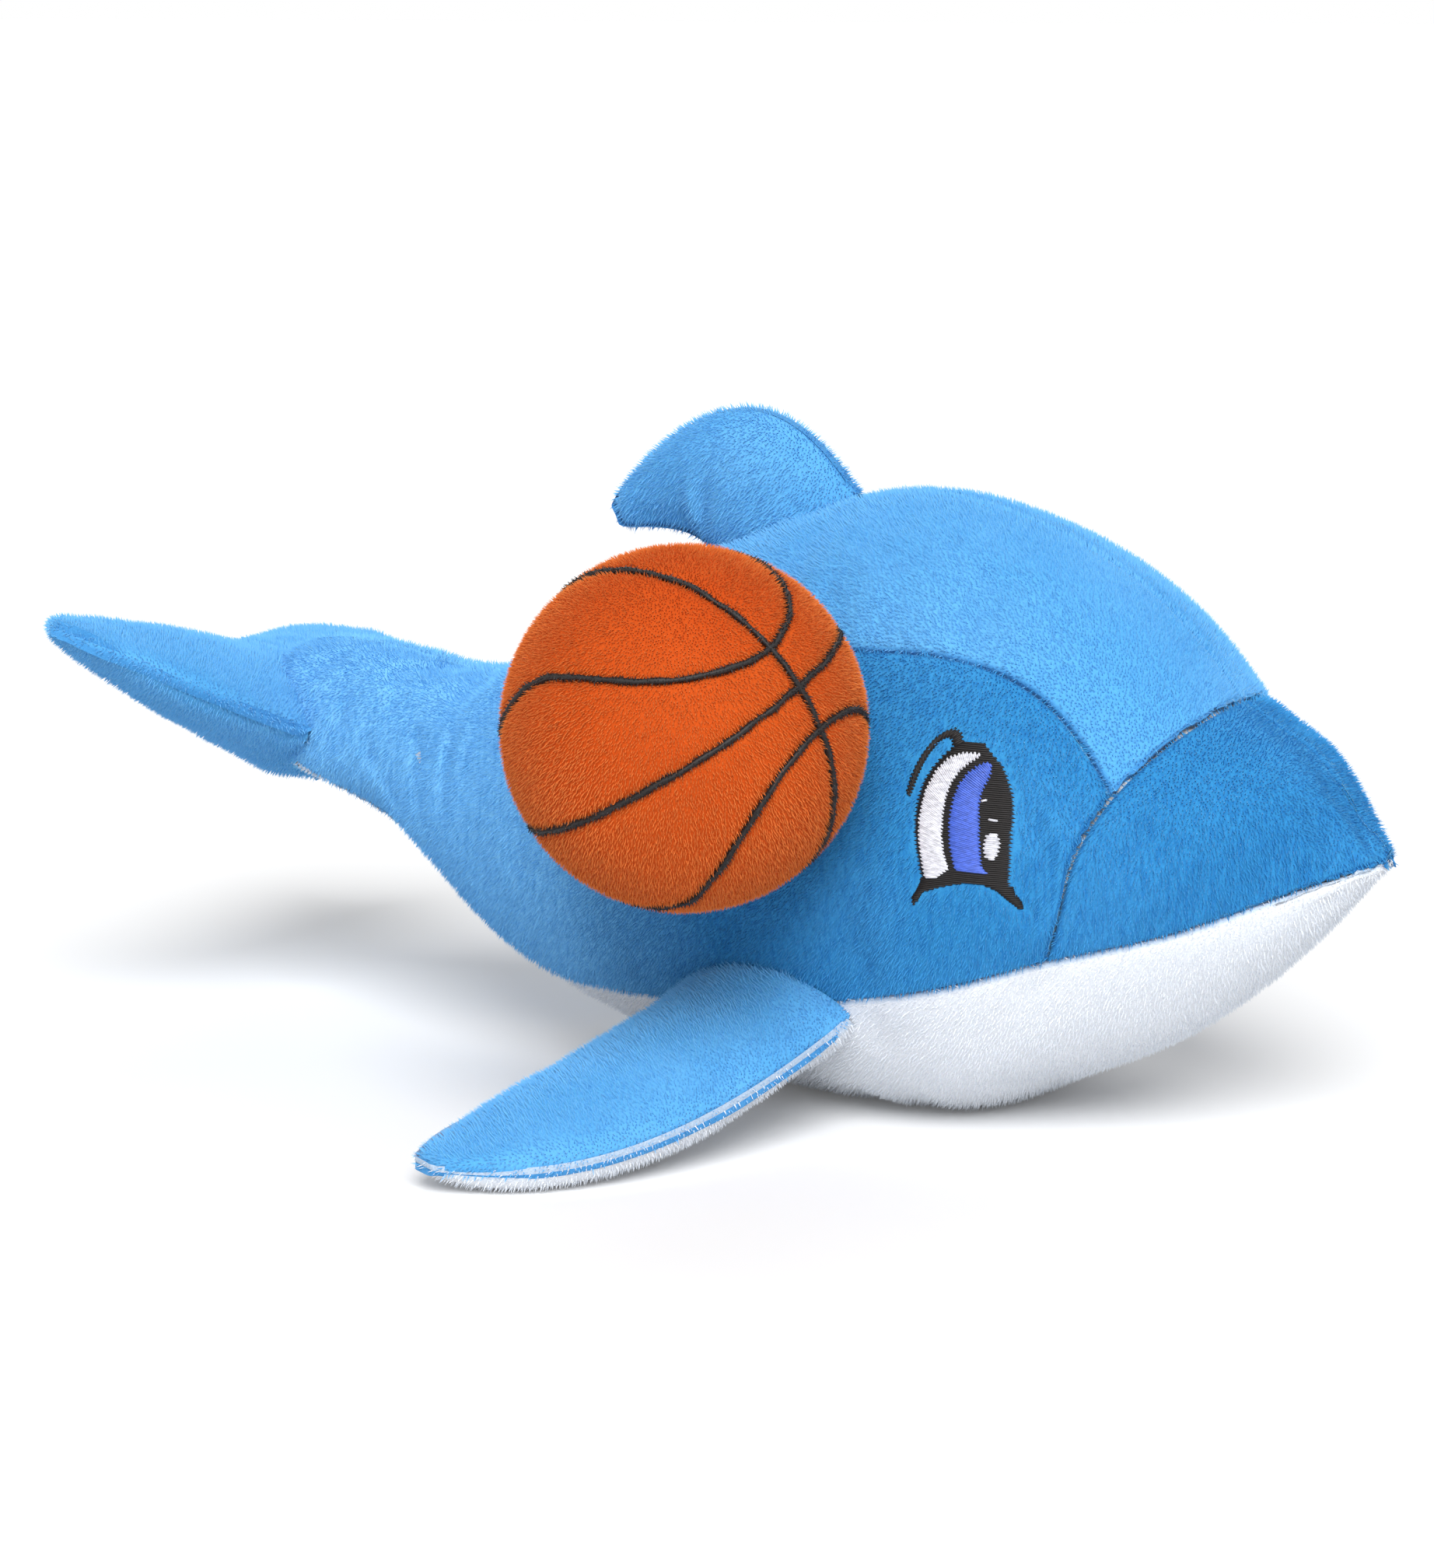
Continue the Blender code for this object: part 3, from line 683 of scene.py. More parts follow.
def ball_line_points():
    """The points of the ball's four closed lines, on its surface."""
    forward = (BALL_CROSSING - BALL_POLE * BALL_CROSSING.dot(BALL_POLE)).normalized()
    across = BALL_POLE.cross(forward)
    lines = [[], [], [], []]
    for step in range(LINE_STEPS):
        turn = 2 * math.pi * step / LINE_STEPS
        level = forward * math.cos(turn) + across * math.sin(turn)
        rise = LINE_NEAR + (LINE_FAR - LINE_NEAR) * math.sin(turn) ** 2
        lines[0].append(forward * math.cos(turn) + BALL_POLE * math.sin(turn))
        lines[1].append(level)
        lines[2].append(level * math.cos(rise) + BALL_POLE * math.sin(rise))
        lines[3].append(level * math.cos(rise) - BALL_POLE * math.sin(rise))
    return [[ball_middle + spot * ball_radius for spot in line] for line in lines]


ball_lines = ball_line_points()
line_tree = search_tree([spot for line in ball_lines for spot in line])


def make_ball_cloth():
    """The ball's cover, with grooves under its lines."""
    mesh = bmesh.new()
    bmesh.ops.create_icosphere(mesh, subdivisions=6, radius=ball_radius)
    bmesh.ops.translate(mesh, vec=ball_middle, verts=mesh.verts)
    piece = new_piece("ball_plush_cloth", mesh)
    # How near each point is to a line: for the groove, painted shade in it and thinner pile
    near_seam = piece.data.attributes.new("seam", "FLOAT", "POINT")
    for corner in piece.data.vertices:
        closeness = math.exp(-((line_tree.find(corner.co)[2] / GROOVE_WIDTH) ** 2))
        near_seam.data[corner.index].value = closeness
        outward = (corner.co - ball_middle).normalized()
        corner.co = corner.co - outward * GROOVE_DEPTH * closeness
    return piece


sheets["ball"] = make_ball_cloth()

# %% [markdown]
# The eyes are embroidered with satin stitches: threads that lie side by side from edge to edge of
# each field, and dive into the cloth at both ends. A field with two long edges gets its stitches
# from one edge to the other, so they fan out where it bends. The black ground gets level rows. The
# outlines are in millimetres forward and upward from the eye's middle, which comes from the solid,
# and a ray from the side lays every point on the cheek. Stitches alternate a little in length,
# which gives the zigzag edge that a sewing machine leaves.

# %% Outlines of the eye, in millimetres
EYE_REAR = 12.9
EYE_DROP = 22.6
GROUND_OUTLINE = [
    (-5.3, 15.4), (-3.3, 17.0), (-0.5, 16.8), (2.2, 16.5), (4.6, 14.1), (7.4, 11.7), (9.4, 8.6),
    (10.8, 5.5), (11.5, 2.7), (11.8, -1.4), (11.8, -5.5), (12.0, -10.6), (11.8, -15.1), (12.4, -18.0),
    (13.9, -20.2), (14.2, -22.1), (12.9, -21.6), (10.1, -19.2), (7.7, -17.3), (5.0, -16.3),
    (1.5, -16.2), (-1.9, -16.8), (-5.3, -17.7), (-8.7, -18.9), (-10.1, -20.9), (-11.6, -22.3),
    (-11.6, -20.7), (-10.4, -18.5), (-9.6, -16.5), (-10.5, -13.0), (-11.3, -9.6), (-12.2, -5.5),
    (-12.5, -1.4), (-12.3, 2.7), (-11.5, 6.9), (-9.8, 10.3), (-7.7, 13.0),
]
WHITE_REAR = [
    (-8.4, -15.2), (-9.2, -12.0), (-9.9, -8.9), (-10.6, -5.2), (-10.8, -1.4), (-10.5, 2.1),
    (-9.9, 5.5), (-8.1, 9.9), (-5.3, 13.0), (-2.2, 14.2), (1.5, 13.9),
]
WHITE_FRONT = [
    (-5.6, -15.0), (-2.7, -12.9), (-3.9, -9.9), (-4.8, -5.8), (-5.0, -1.4), (-4.8, 4.1),
    (-3.9, 7.5), (-2.2, 10.3), (-0.5, 12.0), (1.6, 13.5),
]
BLUE_REAR = [
    (-1.2, -12.9), (-2.2, -9.6), (-3.1, -5.5), (-3.4, -1.4), (-3.1, 3.4), (-2.2, 6.9), (-0.5, 9.6),
    (1.5, 11.3), (3.3, 12.1), (4.3, 11.9),
]
BLUE_FRONT = [
    (6.3, -13.4), (5.0, -12.0), (4.5, -8.9), (4.1, -5.5), (3.8, -2.1), (3.3, 1.4), (3.3, 4.8),
    (4.1, 7.2), (4.8, 9.6), (4.6, 11.5),
]
LID_OUTER = [
    (-14.7, 4.3), (-14.2, 7.5), (-13.3, 10.6), (-12.0, 13.7), (-9.8, 17.0), (-7.4, 18.9), (-5.3, 19.6),
    (-3.6, 18.5), (-2.9, 16.8),
]
LID_INNER = [
    (-13.9, 3.8), (-13.1, 6.2), (-12.5, 8.6), (-11.5, 11.7), (-10.5, 13.7), (-8.6, 16.6), (-6.9, 17.6),
    (-5.6, 17.2), (-5.0, 15.6),
]
SHINE_MIDDLE = (7.0, -7.0)
SHINE_REACH = (1.7, 3.3)
TICKS = [((3.9, 3.4), (5.0, 3.7)), ((5.6, -0.8), (7.6, -1.1))]

# %% Stitches
MM = 0.001
STITCH_PITCH = 0.48
STITCH_STEP = 1.6
STITCH_RADIUS = 0.00029
STITCH_DIVE = 0.0005
STITCH_ARCH = 0.00012
ZIGZAG = 0.42
RAGGED = 0.22
GROUND_SLOPE = -0.04
STITCH_START = 0.06
STITCH_SHARE = 0.88
OVAL_POINTS = 24


def along_edge(points, share):
    """A point at a share of the length of an edge."""
    runs = [math.dist(a, b) for a, b in zip(points, points[1:])]
    left = share * sum(runs)
    for (a, b), run in zip(zip(points, points[1:]), runs):
        if left <= run:
            return Vector(a).lerp(Vector(b), left / run)
        left -= run
    return Vector(points[-1])


def ruled_rows(rear, front, pitch=STITCH_PITCH):
    """Stitches from one edge of a field to the other."""
    length = sum(math.dist(a, b) for a, b in zip(rear, rear[1:]))
    count = int(length / pitch)
    return [(along_edge(rear, k / count), along_edge(front, k / count)) for k in range(count + 1)]


def level_rows(outline, pitch=STITCH_PITCH, slope=GROUND_SLOPE):
    """Stitches in rows across an outline."""
    flat = [(x, y - slope * x) for x, y in outline]
    low, high = min(y for _, y in flat), max(y for _, y in flat)
    rows = []
    for step in range(int((high - low) / pitch)):
        level = low + (step + 0.5) * pitch
        hits = sorted(
            x0 + (level - y0) / (y1 - y0) * (x1 - x0)
            for (x0, y0), (x1, y1) in zip(flat, flat[1:] + flat[:1]) if (y0 > level) != (y1 > level)
        )
        for a, b in zip(hits[::2], hits[1::2]):
            rows.append((Vector((a, level + slope * a)), Vector((b, level + slope * b))))
    return rows


def round_rows(middle, reach):
    """Stitches in rows across a small oval."""
    turns = [number * math.pi / (OVAL_POINTS // 2) for number in range(OVAL_POINTS)]
    return level_rows([
        (middle[0] + reach[0] * math.cos(turn), middle[1] + reach[1] * math.sin(turn)) for turn in turns
    ])


def curve_to_piece(name, path):
    """Turns a bevelled curve into a smooth mesh piece."""
    thing = bpy.data.objects.new(name, path)
    show(thing)
    graph = bpy.context.evaluated_depsgraph_get()
    data = bpy.data.meshes.new_from_object(thing.evaluated_get(graph))
    bpy.data.objects.remove(thing)
    data.name = name
    data.materials.clear()
    data.shade_smooth()
    piece = bpy.data.objects.new(name, data)
    show(piece)
    return piece


def new_path(name, radius, sides):
    """An empty curve with a round section."""
    path = bpy.data.curves.new(name, "CURVE")
    path.dimensions = "3D"
    path.bevel_depth = radius
    path.bevel_resolution = sides
    path.use_fill_caps = True
    return path


def add_run(path, spots, closed=False):
    """Adds one run of points to a curve."""
    spline = path.splines.new("POLY")
    spline.points.add(len(spots) - 1)
    spline.use_cyclic_u = closed
    for point, spot in zip(spline.points, spots):
        point.co = (*spot, 1)
    return spline


def embroider(name, rows, surface, middle, side, lift, seed):
    """A piece of stitches that lie on the cheek."""

    def on_cheek(spot, above):
        start = Vector((middle.x + spot.x * MM, side, middle.z + spot.y * MM))
        place, normal, _, _ = surface.ray_cast(start, Vector((0, -side, 0)))
        return place + normal * above

    path = new_path(name, STITCH_RADIUS, 0)
    for number, (first, last) in enumerate(rows):
        first, last = Vector(first), Vector(last)
        way = (last - first).normalized()
        swing = ZIGZAG if number % 2 else -ZIGZAG
        ends = [RAGGED * noise.noise(Vector((number * 1.7, end * 9.1, seed))) for end in (0, 1)]
        first = first - way * (swing / 2 + ends[0])
        last = last + way * (ends[1] - swing / 2)
        count = max(3, math.ceil((last - first).length / STITCH_STEP) + 1)
        bounce = STITCH_ARCH * noise.noise(Vector((number * 2.3, seed, 0.5)))
        spots = [on_cheek(first, lift - STITCH_DIVE)]
        for step in range(count):
            share = STITCH_START + STITCH_SHARE * step / (count - 1)
            arch = STITCH_ARCH * math.sin(math.pi * share)
            spots.append(on_cheek(first.lerp(last, share), lift + arch + bounce))
        spots.append(on_cheek(last, lift - STITCH_DIVE))
        add_run(path, spots)
    piece = curve_to_piece(name, path)
    print(name, "stitches", len(rows), "faces", len(piece.data.polygons))
    return piece


def thread_material(name, colour, gloss):
    """Shiny embroidery thread, with fine plies across it."""
    made, tree, shader = new_material(name)
    ply = spread(tree, noise_of(tree, 1800, 2, (0.3, 1, 1)), 0.3, 0.7)
    dark = tuple(0.6 * part for part in colour)
    tree.links.new(mix_colours(tree, ply, dark, colour), shader.inputs["Base Color"])
    set_inputs(shader, {"Roughness": gloss, "Specular IOR Level": 0.4})
    return made


threads = {
    "black": thread_material("black_embroidery_thread", (0.012, 0.010, 0.010), 0.6),
    "white": thread_material("white_embroidery_thread", (0.80, 0.81, 0.88), 0.45),
    "blue": thread_material("blue_embroidery_thread", (0.085, 0.17, 0.72), 0.42),
}
# Each field: its rows, its thread, how far it lies above the cheek, and the solid it stands for
FIELDS = [
    ("black_ground", level_rows(GROUND_OUTLINE), "black", 0.0001, "eye_black"),
    ("black_lid", ruled_rows(LID_OUTER, LID_INNER), "black", 0.0001, None),
    ("white_crescent", ruled_rows(WHITE_REAR, WHITE_FRONT), "white", 0.0005, "eye_white"),
    ("blue_iris", ruled_rows(BLUE_REAR, BLUE_FRONT), "blue", 0.0005, "eye_blue"),
    ("white_shine", round_rows(SHINE_MIDDLE, SHINE_REACH) + TICKS, "white", 0.0005, "eye_shine"),
]
eye_stitches = []
for side, side_name in ((-1, "right"), (1, "left")):
    cheek = sheet_surface([f"side_panel_{side_name}"])
    eye_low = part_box(f"eye_black_{side_name}")[0]
    eye_middle = Vector((eye_low.x + EYE_REAR * MM, 0, eye_low.z + EYE_DROP * MM))
    for seed, (field, rows, thread, lift, node) in enumerate(FIELDS):
        piece = embroider(f"eye_{field}_{side_name}", rows, cheek, eye_middle, side, lift, seed)
        piece.data.materials.append(threads[thread])
        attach(piece, "root")
        if node:
            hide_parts(f"{node}_{side_name}")
        if thread == "black":
            eye_stitches.append(piece)

# %% [markdown]
# The ball's lines are thick black thread, stitched down in the grooves of its cover. Each is a
# tube that follows its line and swells, shrinks and wanders a little along the way.

# %% The ball's lines
LINE_RADIUS = 0.0007
LINE_LIFT = 0.0001
LINE_WANDER = 0.0004
WANDER_SCALE = 160
LINE_SWELL = 0.45
SWELL_SCALE = 420


def make_ball_lines():
    """The four closed lines as one piece of thread."""
    path = new_path("ball_line_stitches", LINE_RADIUS, 1)
    for number, line in enumerate(ball_lines):
        spots = []
        for spot in line:
            outward = (spot - ball_middle).normalized()
            wander = noise.noise_vector(spot * WANDER_SCALE + Vector((number, 0, 0))) * LINE_WANDER
            spots.append(spot + outward * LINE_LIFT + wander)
        spline = add_run(path, spots, closed=True)
        for point, spot in zip(spline.points, line):
            point.radius = 1 + LINE_SWELL * noise.noise(spot * SWELL_SCALE)
    piece = curve_to_piece("ball_line_stitches", path)
    piece.data.materials.append(threads["black"])
    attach(piece, "root")
    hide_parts("ball_lines")
    return piece


line_stitches = make_ball_lines()

# %% [markdown]
# Short-pile plush is velvety: thousands of fine tufts that all lean the same way. Real tufts give
# the soft outline and the grain that a bump can't, so they are modelled as slim cones with three
# sides, rooted in the cloth. Geometry Nodes places them: points are spread evenly over the cloth,
# and each gets a cone that leans from the surface's normal towards the nap. A tuft's height share
# and a random shade are kept as attributes for the colour. Its normals are taken from the cloth
# under it, with a little scatter, because pile is shaded as one soft surface and not hair by hair.

# %% Pile
PILE_LENGTH = 0.0019
PILE_RADIUS = 0.00019
PILE_DENSITY = 1.35e6
PILE_LEAN = 0.45
PILE_MESS = 0.26
NORMAL_MESS = 0.09
EYE_CLEAR = 0.0008
EVEN_SPACING = 0.757
TRIES = 5
SEAM_THINNING = 0.55
LEAST_TUFT = (0.8, 0.8, 0.65)
LARGEST_TUFT = (1.2, 1.2, 1.15)
WHITE_PILE = {"density": 0.6, "length": 0.8}
BALL_PILE = {"density": 1.35, "length": 0.8}
LINE_FUZZ = {"density": 1.2, "length": 0.5}


def vector_math(tree, operation, first, second=None, scale=None):
    """One step of vector arithmetic in a node tree."""
    inputs = {0: first}
    if second is not None:
        inputs[1] = second
    if scale is not None:
        inputs["Scale"] = scale
    made = add_node(tree, "ShaderNodeVectorMath", inputs, operation=operation)
    return made.outputs["Value" if operation == "DOT_PRODUCT" else "Vector"]


def random_vector(tree, low, high, seed):
    """A random vector between two vectors, for each tuft."""
    made = add_node(
        tree, "FunctionNodeRandomValue", {"Min": low, "Max": high, "Seed": seed}, data_type="FLOAT_VECTOR"
    )
    return made.outputs[0]


def named(tree, name, data_type):
    """Reads a named attribute."""
    made = add_node(tree, "GeometryNodeInputNamedAttribute", {"Name": name}, data_type=data_type)
    return made.outputs[0]


def store(tree, geometry, name, value, data_type, domain):
    """Stores a value as a named attribute."""
    made = add_node(
        tree, "GeometryNodeStoreNamedAttribute", {"Geometry": geometry, "Name": name, "Value": value},
        data_type=data_type, domain=domain,
    )
    return made.outputs[0]


def pile_inputs(tree):
    """The inputs that can differ from piece to piece."""
    face = tree.interface
    face.new_socket("Geometry", in_out="INPUT", socket_type="NodeSocketGeometry")
    for name, kind, value in (
        ("Density", "NodeSocketFloat", PILE_DENSITY), ("Length", "NodeSocketFloat", PILE_LENGTH),
        ("Radius", "NodeSocketFloat", PILE_RADIUS), ("Lean", "NodeSocketFloat", PILE_LEAN),
        ("Nap", "NodeSocketVector", (-1, 0, 0)), ("Seed", "NodeSocketInt", 1),
    ):
        face.new_socket(name, in_out="INPUT", socket_type=kind).default_value = value
    face.new_socket("Geometry", in_out="OUTPUT", socket_type="NodeSocketGeometry")
    return add_node(tree, "NodeGroupInput").outputs


def pile_tuft(tree, given):
    """One slim cone, with its height share stored on it."""
    cone = add_node(
        tree, "GeometryNodeMeshCone",
        {"Vertices": 3, "Radius Top": 0.0, "Radius Bottom": given["Radius"], "Depth": given["Length"]},
        fill_type="NONE",
    )
    at = add_node(tree, "GeometryNodeInputPosition").outputs[0]
    height = add_node(tree, "ShaderNodeSeparateXYZ", {0: at}).outputs[2]
    share = math_step(tree, "DIVIDE", height, given["Length"])
    return store(tree, cone.outputs["Mesh"], "tip", share, "FLOAT", "POINT")


def pile_way(tree, given, normal):
    """The way a tuft points: the cloth's normal, leaning towards the nap."""
    upright = vector_math(tree, "DOT_PRODUCT", given["Nap"], normal)
    along = vector_math(tree, "SCALE", normal, scale=upright)
    flat = vector_math(tree, "NORMALIZE", vector_math(tree, "SUBTRACT", given["Nap"], along))
    lean = vector_math(tree, "SCALE", flat, scale=given["Lean"])
    leaning = vector_math(tree, "ADD", normal, lean)
    way = vector_math(tree, "ADD", leaning, random_vector(tree, (-PILE_MESS,) * 3, (PILE_MESS,) * 3, 11))
    return add_node(tree, "FunctionNodeAlignRotationToVector", {"Vector": way}, axis="Z").outputs[0]


def above_floor(tree, geometry):
    """Keeps every point of the pile above the floor."""
    position = add_node(tree, "GeometryNodeInputPosition").outputs[0]
    at = add_node(tree, "ShaderNodeSeparateXYZ", {0: position}).outputs
    above = math_step(tree, "MAXIMUM", at[2], FLOOR_CLEAR)
    pressed = add_node(tree, "ShaderNodeCombineXYZ", {0: at[0], 1: at[1], 2: above}).outputs[0]
    made = add_node(tree, "GeometryNodeSetPosition", {"Geometry": geometry, "Position": pressed})
    return made.outputs[0]


def pile_tree():
    """The node tree that grows pile on a sheet."""
    tree = bpy.data.node_groups.new("short_pile", "GeometryNodeTree")
    given = pile_inputs(tree)
    root = math_step(tree, "INVERSE_SQRT", given["Density"])
    apart = math_step(tree, "MULTIPLY", root, EVEN_SPACING)
    tries = math_step(tree, "MULTIPLY", given["Density"], TRIES)
    points = add_node(
        tree, "GeometryNodeDistributePointsOnFaces",
        {
            "Mesh": given["Geometry"], "Distance Min": apart, "Density Max": tries,
            "Density Factor": named(tree, "pile", "FLOAT"), "Seed": given["Seed"],
        },
        distribute_method="POISSON",
    )
    way = pile_way(tree, given, points.outputs["Normal"])
    scatter = random_vector(tree, (-NORMAL_MESS,) * 3, (NORMAL_MESS,) * 3, 23)
    soft = vector_math(tree, "ADD", named(tree, "cloth_normal", "FLOAT_VECTOR"), scatter)
    rooted = store(tree, points.outputs["Points"], "soft_normal", soft, "FLOAT_VECTOR", "POINT")
    size = random_vector(tree, LEAST_TUFT, LARGEST_TUFT, 5)
    placed = add_node(
        tree, "GeometryNodeInstanceOnPoints",
        {"Points": rooted, "Instance": pile_tuft(tree, given), "Rotation": way, "Scale": size},
    )
    shade = add_node(tree, "FunctionNodeRandomValue", {2: 0.0, 3: 1.0, "Seed": 3}, data_type="FLOAT")
    shaded = store(tree, placed.outputs[0], "shade", shade.outputs[1], "FLOAT", "INSTANCE")
    real = add_node(tree, "GeometryNodeRealizeInstances", {"Geometry": shaded})
    settled = above_floor(tree, real.outputs[0])
    soft_shaded = add_node(
        tree, "GeometryNodeSetMeshNormal",
        {"Mesh": settled, "Custom Normal": named(tree, "soft_normal", "FLOAT_VECTOR")}, mode="FREE",
    )
    out = add_node(tree, "NodeGroupOutput")
    tree.links.new(soft_shaded.outputs[0], out.inputs[0])
    return tree


short_pile = pile_tree()


def grow_pile(name, sheet, nap, seed, density=1.0, length=1.0, lean=PILE_LEAN):
    """A piece with the tufts of a sheet."""
    piece = bpy.data.objects.new(name, sheet.data.copy())
    show(piece)
    grown = piece.modifiers.new("pile", "NODES")
    grown.node_group = short_pile
    values = {
        "Density": PILE_DENSITY * density, "Length": PILE_LENGTH * length, "Lean": lean, "Nap": nap,
        "Seed": seed,
    }
    for socket in short_pile.interface.items_tree:
        if socket.name in values:
            grown[socket.identifier] = values[socket.name]
    apply_modifiers(piece)
    piece.data.materials.clear()
    print(name, "triangles", sum(len(face.vertices) - 2 for face in piece.data.polygons))
    return piece


stitched = search_tree([corner.co for piece in eye_stitches for corner in piece.data.vertices])


def mark_pile(piece):
    """Says where a sheet has room for pile, not on its allowance, and keeps the cloth's normals."""
    data = piece.data
    data.attributes.new("pile", "FLOAT", "POINT")
    data.attributes.new("cloth_normal", "FLOAT_VECTOR", "POINT")
    seam = [value.value for value in data.attributes["seam"].data]
    allowance = set(border_of(piece))
    for corner in data.vertices:
        free = 1 - SEAM_THINNING * seam[corner.index] ** 2
        if corner.index in allowance or stitched.find(corner.co)[2] < EYE_CLEAR:
            free = 0
        data.attributes["pile"].data[corner.index].value = free
        data.attributes["cloth_normal"].data[corner.index].vector = corner.normal


piles = {}
for number, (node, _, colour, nap, _) in enumerate(PANELS):
    mark_pile(sheets[node])
    piles[node] = grow_pile(
        node.replace("panel", "plush") + "_pile", sheets[node], nap, number + 1,
        **(WHITE_PILE if colour == "white" else {}),
    )
mark_pile(sheets["ball"])
piles["ball"] = grow_pile("ball_plush_pile", sheets["ball"], (0.1, 0, -1), 40, **BALL_PILE)
line_stitches.data.attributes.new("seam", "FLOAT", "POINT")
mark_pile(line_stitches)
line_fuzz = grow_pile("ball_line_fuzz", line_stitches, (0.1, 0, -1), 41, **LINE_FUZZ)

# %% [markdown]
# The plush is dyed one colour, but light catches the tips of the pile, and the roots stay dark.
# So light and shade are painted into the colour: along each tuft it runs from the root's tone,
# painted shade, to the tip's, painted light. Every tuft has its own slight random tone, fine specks
# show gaps in the pile, and a broad soft noise stands for pile that was stroked one way or the
# other. A pale sheen gives the bright rim that pile shows where it is seen from the side. The cloth
# between the tufts has the deep root tone, painted shade, and is darker still near the seams and the
# ball's lines, as painted shade in their creases, with the fine grain of the pile as a bump.

# %% Plush materials
GRAIN_SCALE = 1900
STROKE_SCALE = 26
RIB_SCALE = 1000
RIB_STRETCH = (1, 1, 0.16)
FADE_FROM = -0.03
FADE_TO = -0.085
FADE_MOST = 0.85
SHADE_TINT = (0.6, 0.68, 0.78)
SPECK_TINT = (0.62, 0.7, 0.8)
RIB_TINT = (0.35, 0.6, 0.78)
SEAM_SHADE_TINT = (0.45, 0.6, 0.75)
GRAIN_DEPTH = 0.0006


def plush_material(name, root, tip, pale, fade=None, ribs=0.0, grain=0.0):
    """Dyed pile between a dark root colour and a light tip colour, which are painted shade and light,
    paler towards the tail; with grain, painted shade near seams and a bump.
    """
    made, tree, shader = new_material(name)
    height, shade, seam = (
        add_node(tree, "ShaderNodeAttribute", attribute_name=kind).outputs["Fac"]
        for kind in ("tip", "shade", "seam")
    )
    stroked = spread(tree, noise_of(tree, STROKE_SCALE, 3), 0.38, 0.68, 0, 0.35)
    speck = spread(tree, noise_of(tree, GRAIN_SCALE, 3), 0.42, 0.68, 0, 0.35)
    # Painted shade at each tuft's root and painted light at its tip
    colour = mix_colours(tree, height, root, tip)
    colour = mix_colours(tree, stroked, colour, pale)
    if fade:
        place = add_node(tree, "ShaderNodeTexCoord").outputs["Object"]
        forward = add_node(tree, "ShaderNodeSeparateXYZ", {0: place}).outputs[0]
        share = spread(tree, forward, FADE_FROM, FADE_TO, 0, FADE_MOST)
        colour = mix_colours(tree, share, colour, fade)
    colour = mix_colours(tree, spread(tree, shade, 0, 1, 0, 0.2), colour, SHADE_TINT, "MULTIPLY")
    colour = mix_colours(tree, speck, colour, SPECK_TINT, "MULTIPLY")
    if ribs:
        streak = spread(tree, noise_of(tree, RIB_SCALE, 2, RIB_STRETCH), 0.42, 0.66, 0, ribs)
        colour = mix_colours(tree, streak, colour, RIB_TINT, "MULTIPLY")
    if grain:
        # Painted shade in the creases: the cloth darkens near seams and the ball's lines
        crease = spread(tree, seam, 0.3, 1, 0, 0.8)
        colour = mix_colours(tree, crease, colour, SEAM_SHADE_TINT, "MULTIPLY")
        fine = noise_of(tree, GRAIN_SCALE, 3)
        bump = add_node(
            tree, "ShaderNodeBump", {"Height": fine, "Strength": grain, "Distance": GRAIN_DEPTH}
        )
        tree.links.new(bump.outputs[0], shader.inputs["Normal"])
    tree.links.new(colour, shader.inputs["Base Color"])
    set_inputs(shader, {
        "Roughness": 0.85, "Specular IOR Level": 0.2, "Sheen Weight": 1, "Sheen Roughness": 0.3,
        "Sheen Tint": (*(math.sqrt(part) for part in pale), 1),
    })
    return made


# Each dye with its painted light: the deep tone of the cloth and the roots, painted shade, the tips,
# painted light, and the tone of stroked pile
DYES_AND_PAINTED_LIGHT = {
    "blue": ((0.095, 0.395, 0.74), (0.21, 0.53, 0.86), (0.20, 0.53, 0.87)),
    "cheek": ((0.030, 0.255, 0.55), (0.065, 0.36, 0.70), (0.07, 0.35, 0.69)),
    "white": ((0.79, 0.82, 0.87), (0.84, 0.87, 0.91), (0.86, 0.88, 0.92)),
    "orange": ((0.53, 0.066, 0.003), (0.84, 0.30, 0.08), (0.66, 0.115, 0.012)),
}
FADED = {"cheek": (0.23, 0.58, 0.92)}


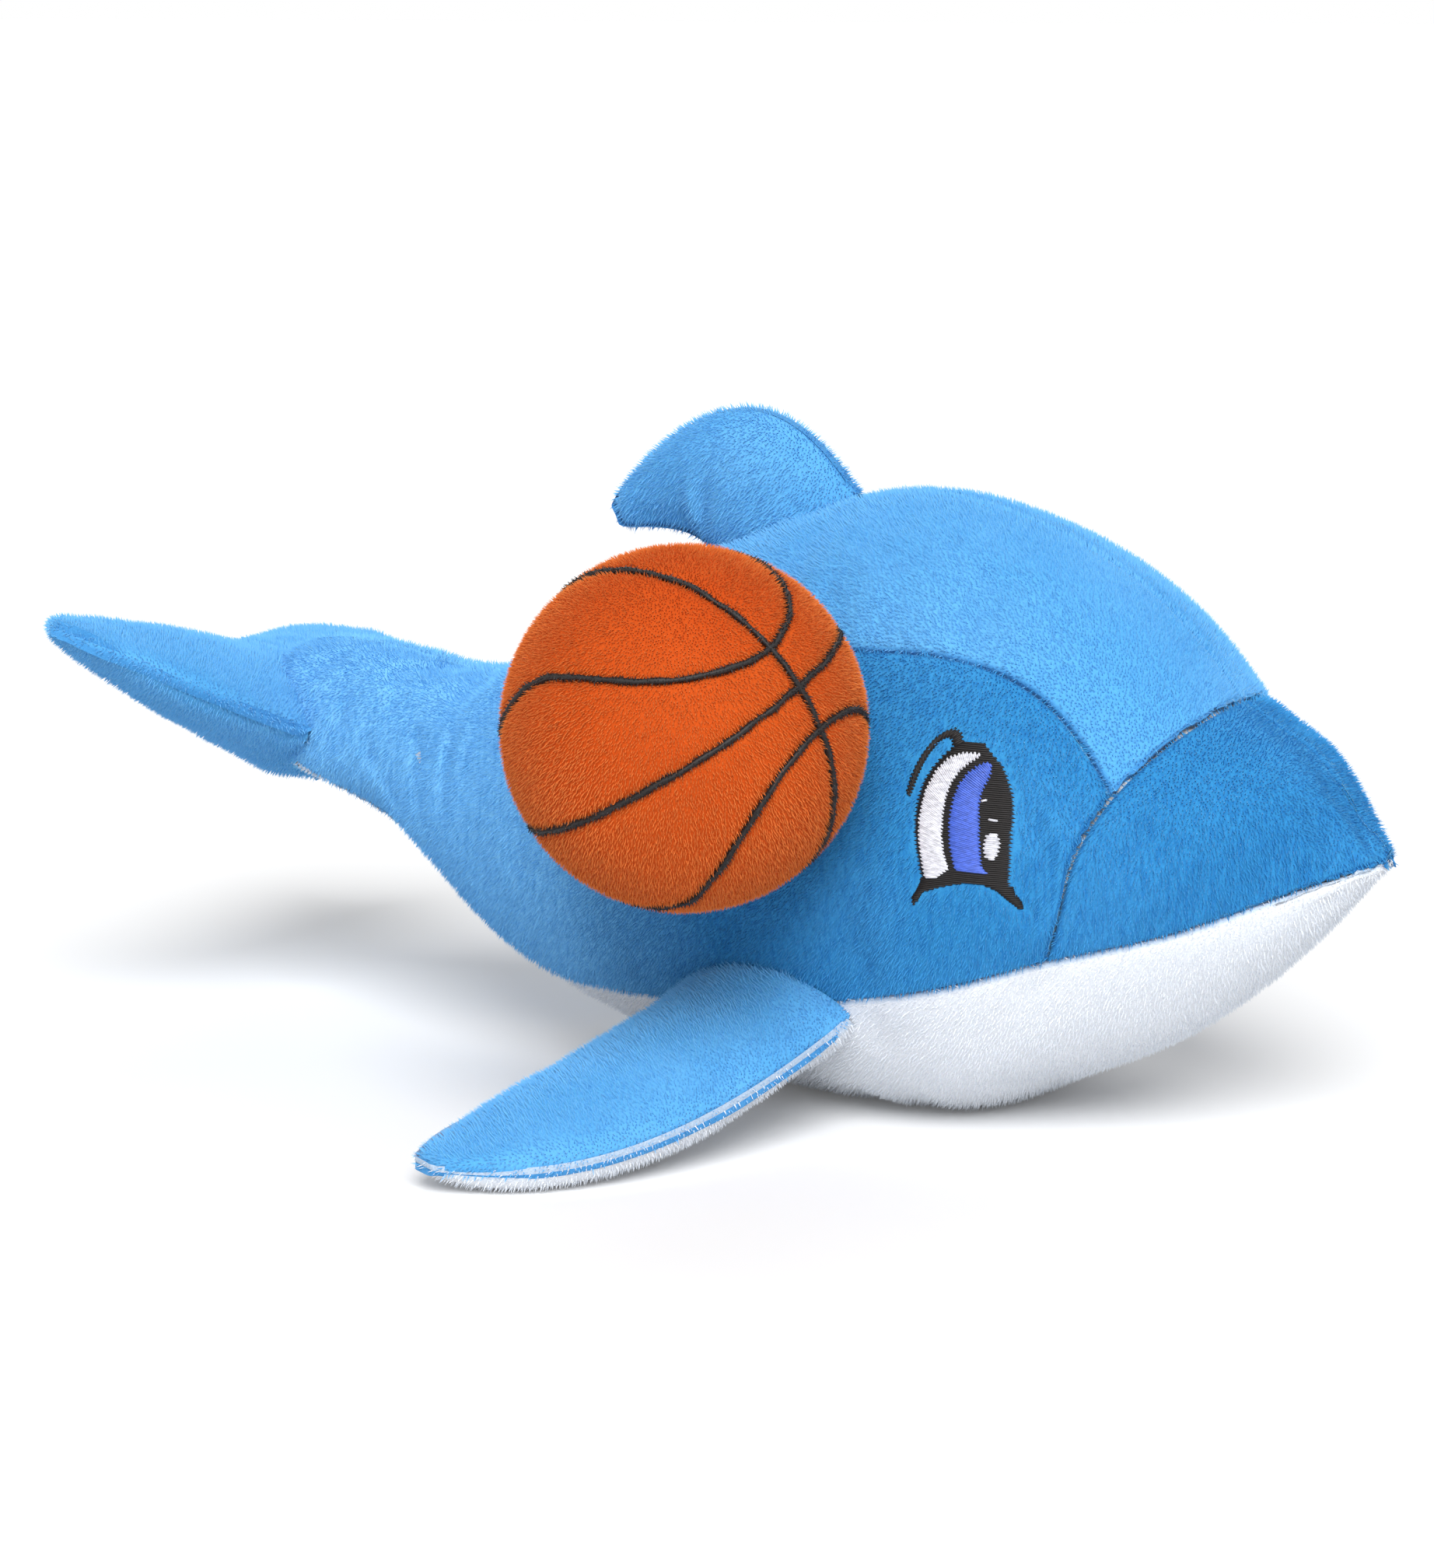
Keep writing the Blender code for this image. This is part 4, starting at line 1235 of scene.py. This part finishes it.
def cloth_dye_and_shade(dye):
    """The tones of the cloth between the tufts: the deep tone, painted shade, for root and tip alike, and
    the stroked tone.
    """
    deep, tip, pale = DYES_AND_PAINTED_LIGHT[dye]
    return deep, deep, pale


pile_finish = {
    dye: plush_material(f"{dye}_pile", *DYES_AND_PAINTED_LIGHT[dye], fade=FADED.get(dye), ribs=0.45 * (dye == "cheek"))
    for dye in DYES_AND_PAINTED_LIGHT
}
cloth_finish = {
    dye: plush_material(
        f"{dye}_cloth", *cloth_dye_and_shade(dye), fade=FADED.get(dye), ribs=0.6 * (dye == "cheek"), grain=0.6
    )
    for dye in DYES_AND_PAINTED_LIGHT
}
LIMB_FILL = 0.6
BODY_FILL = 0.8
BALL_FILL = 0.9


def dress(sheet, pile, colour, dye, fill, *nodes):
    """Gives a stuffed panel its materials, puts it on the root body, and hides the solids it stands for.
    """
    sheet.data.materials.clear()
    sheet.data.materials.append(cloth_finish[dye])
    pile.data.materials.append(pile_finish[dye])
    for piece in (sheet, pile):
        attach(piece, "root")
    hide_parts(*nodes)


for node, is_limb, colour, _, _ in PANELS:
    dye = "cheek" if node.startswith(("side", "snout")) else colour
    dress(sheets[node], piles[node], colour, dye, LIMB_FILL if is_limb else BODY_FILL, node)
dress(
    sheets["ball"], piles["ball"], "orange", "orange", BALL_FILL, "ball_cover_top", "ball_cover_bottom"
)
line_fuzz.data.materials.append(threads["black"])
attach(line_fuzz, "root")

# %% [markdown]
# The stuffing is inside the cloth. Its solids have the right form, so they stay, with a white
# fibre finish.

# %% Stuffing
FIBRE_SHADE = (0.6, 0.6, 0.58)
FIBRE_WHITE = (0.88, 0.88, 0.86)


def fibre_material():
    """Fluffy white polyester fibre."""
    made, tree, shader = new_material("polyester_fibre")
    fluff = spread(tree, noise_of(tree, 160, 6), 0.3, 0.7)
    tree.links.new(mix_colours(tree, fluff, FIBRE_SHADE, FIBRE_WHITE), shader.inputs["Base Color"])
    shader.inputs["Roughness"].default_value = 1
    bump = add_node(tree, "ShaderNodeBump", {"Height": fluff, "Strength": 0.8, "Distance": 0.002})
    tree.links.new(bump.outputs[0], shader.inputs["Normal"])
    return made


fibre = fibre_material()
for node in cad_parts:
    if "stuffing" in node:
        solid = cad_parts[node]
        solid.data.materials.clear()
        solid.data.materials.append(fibre)
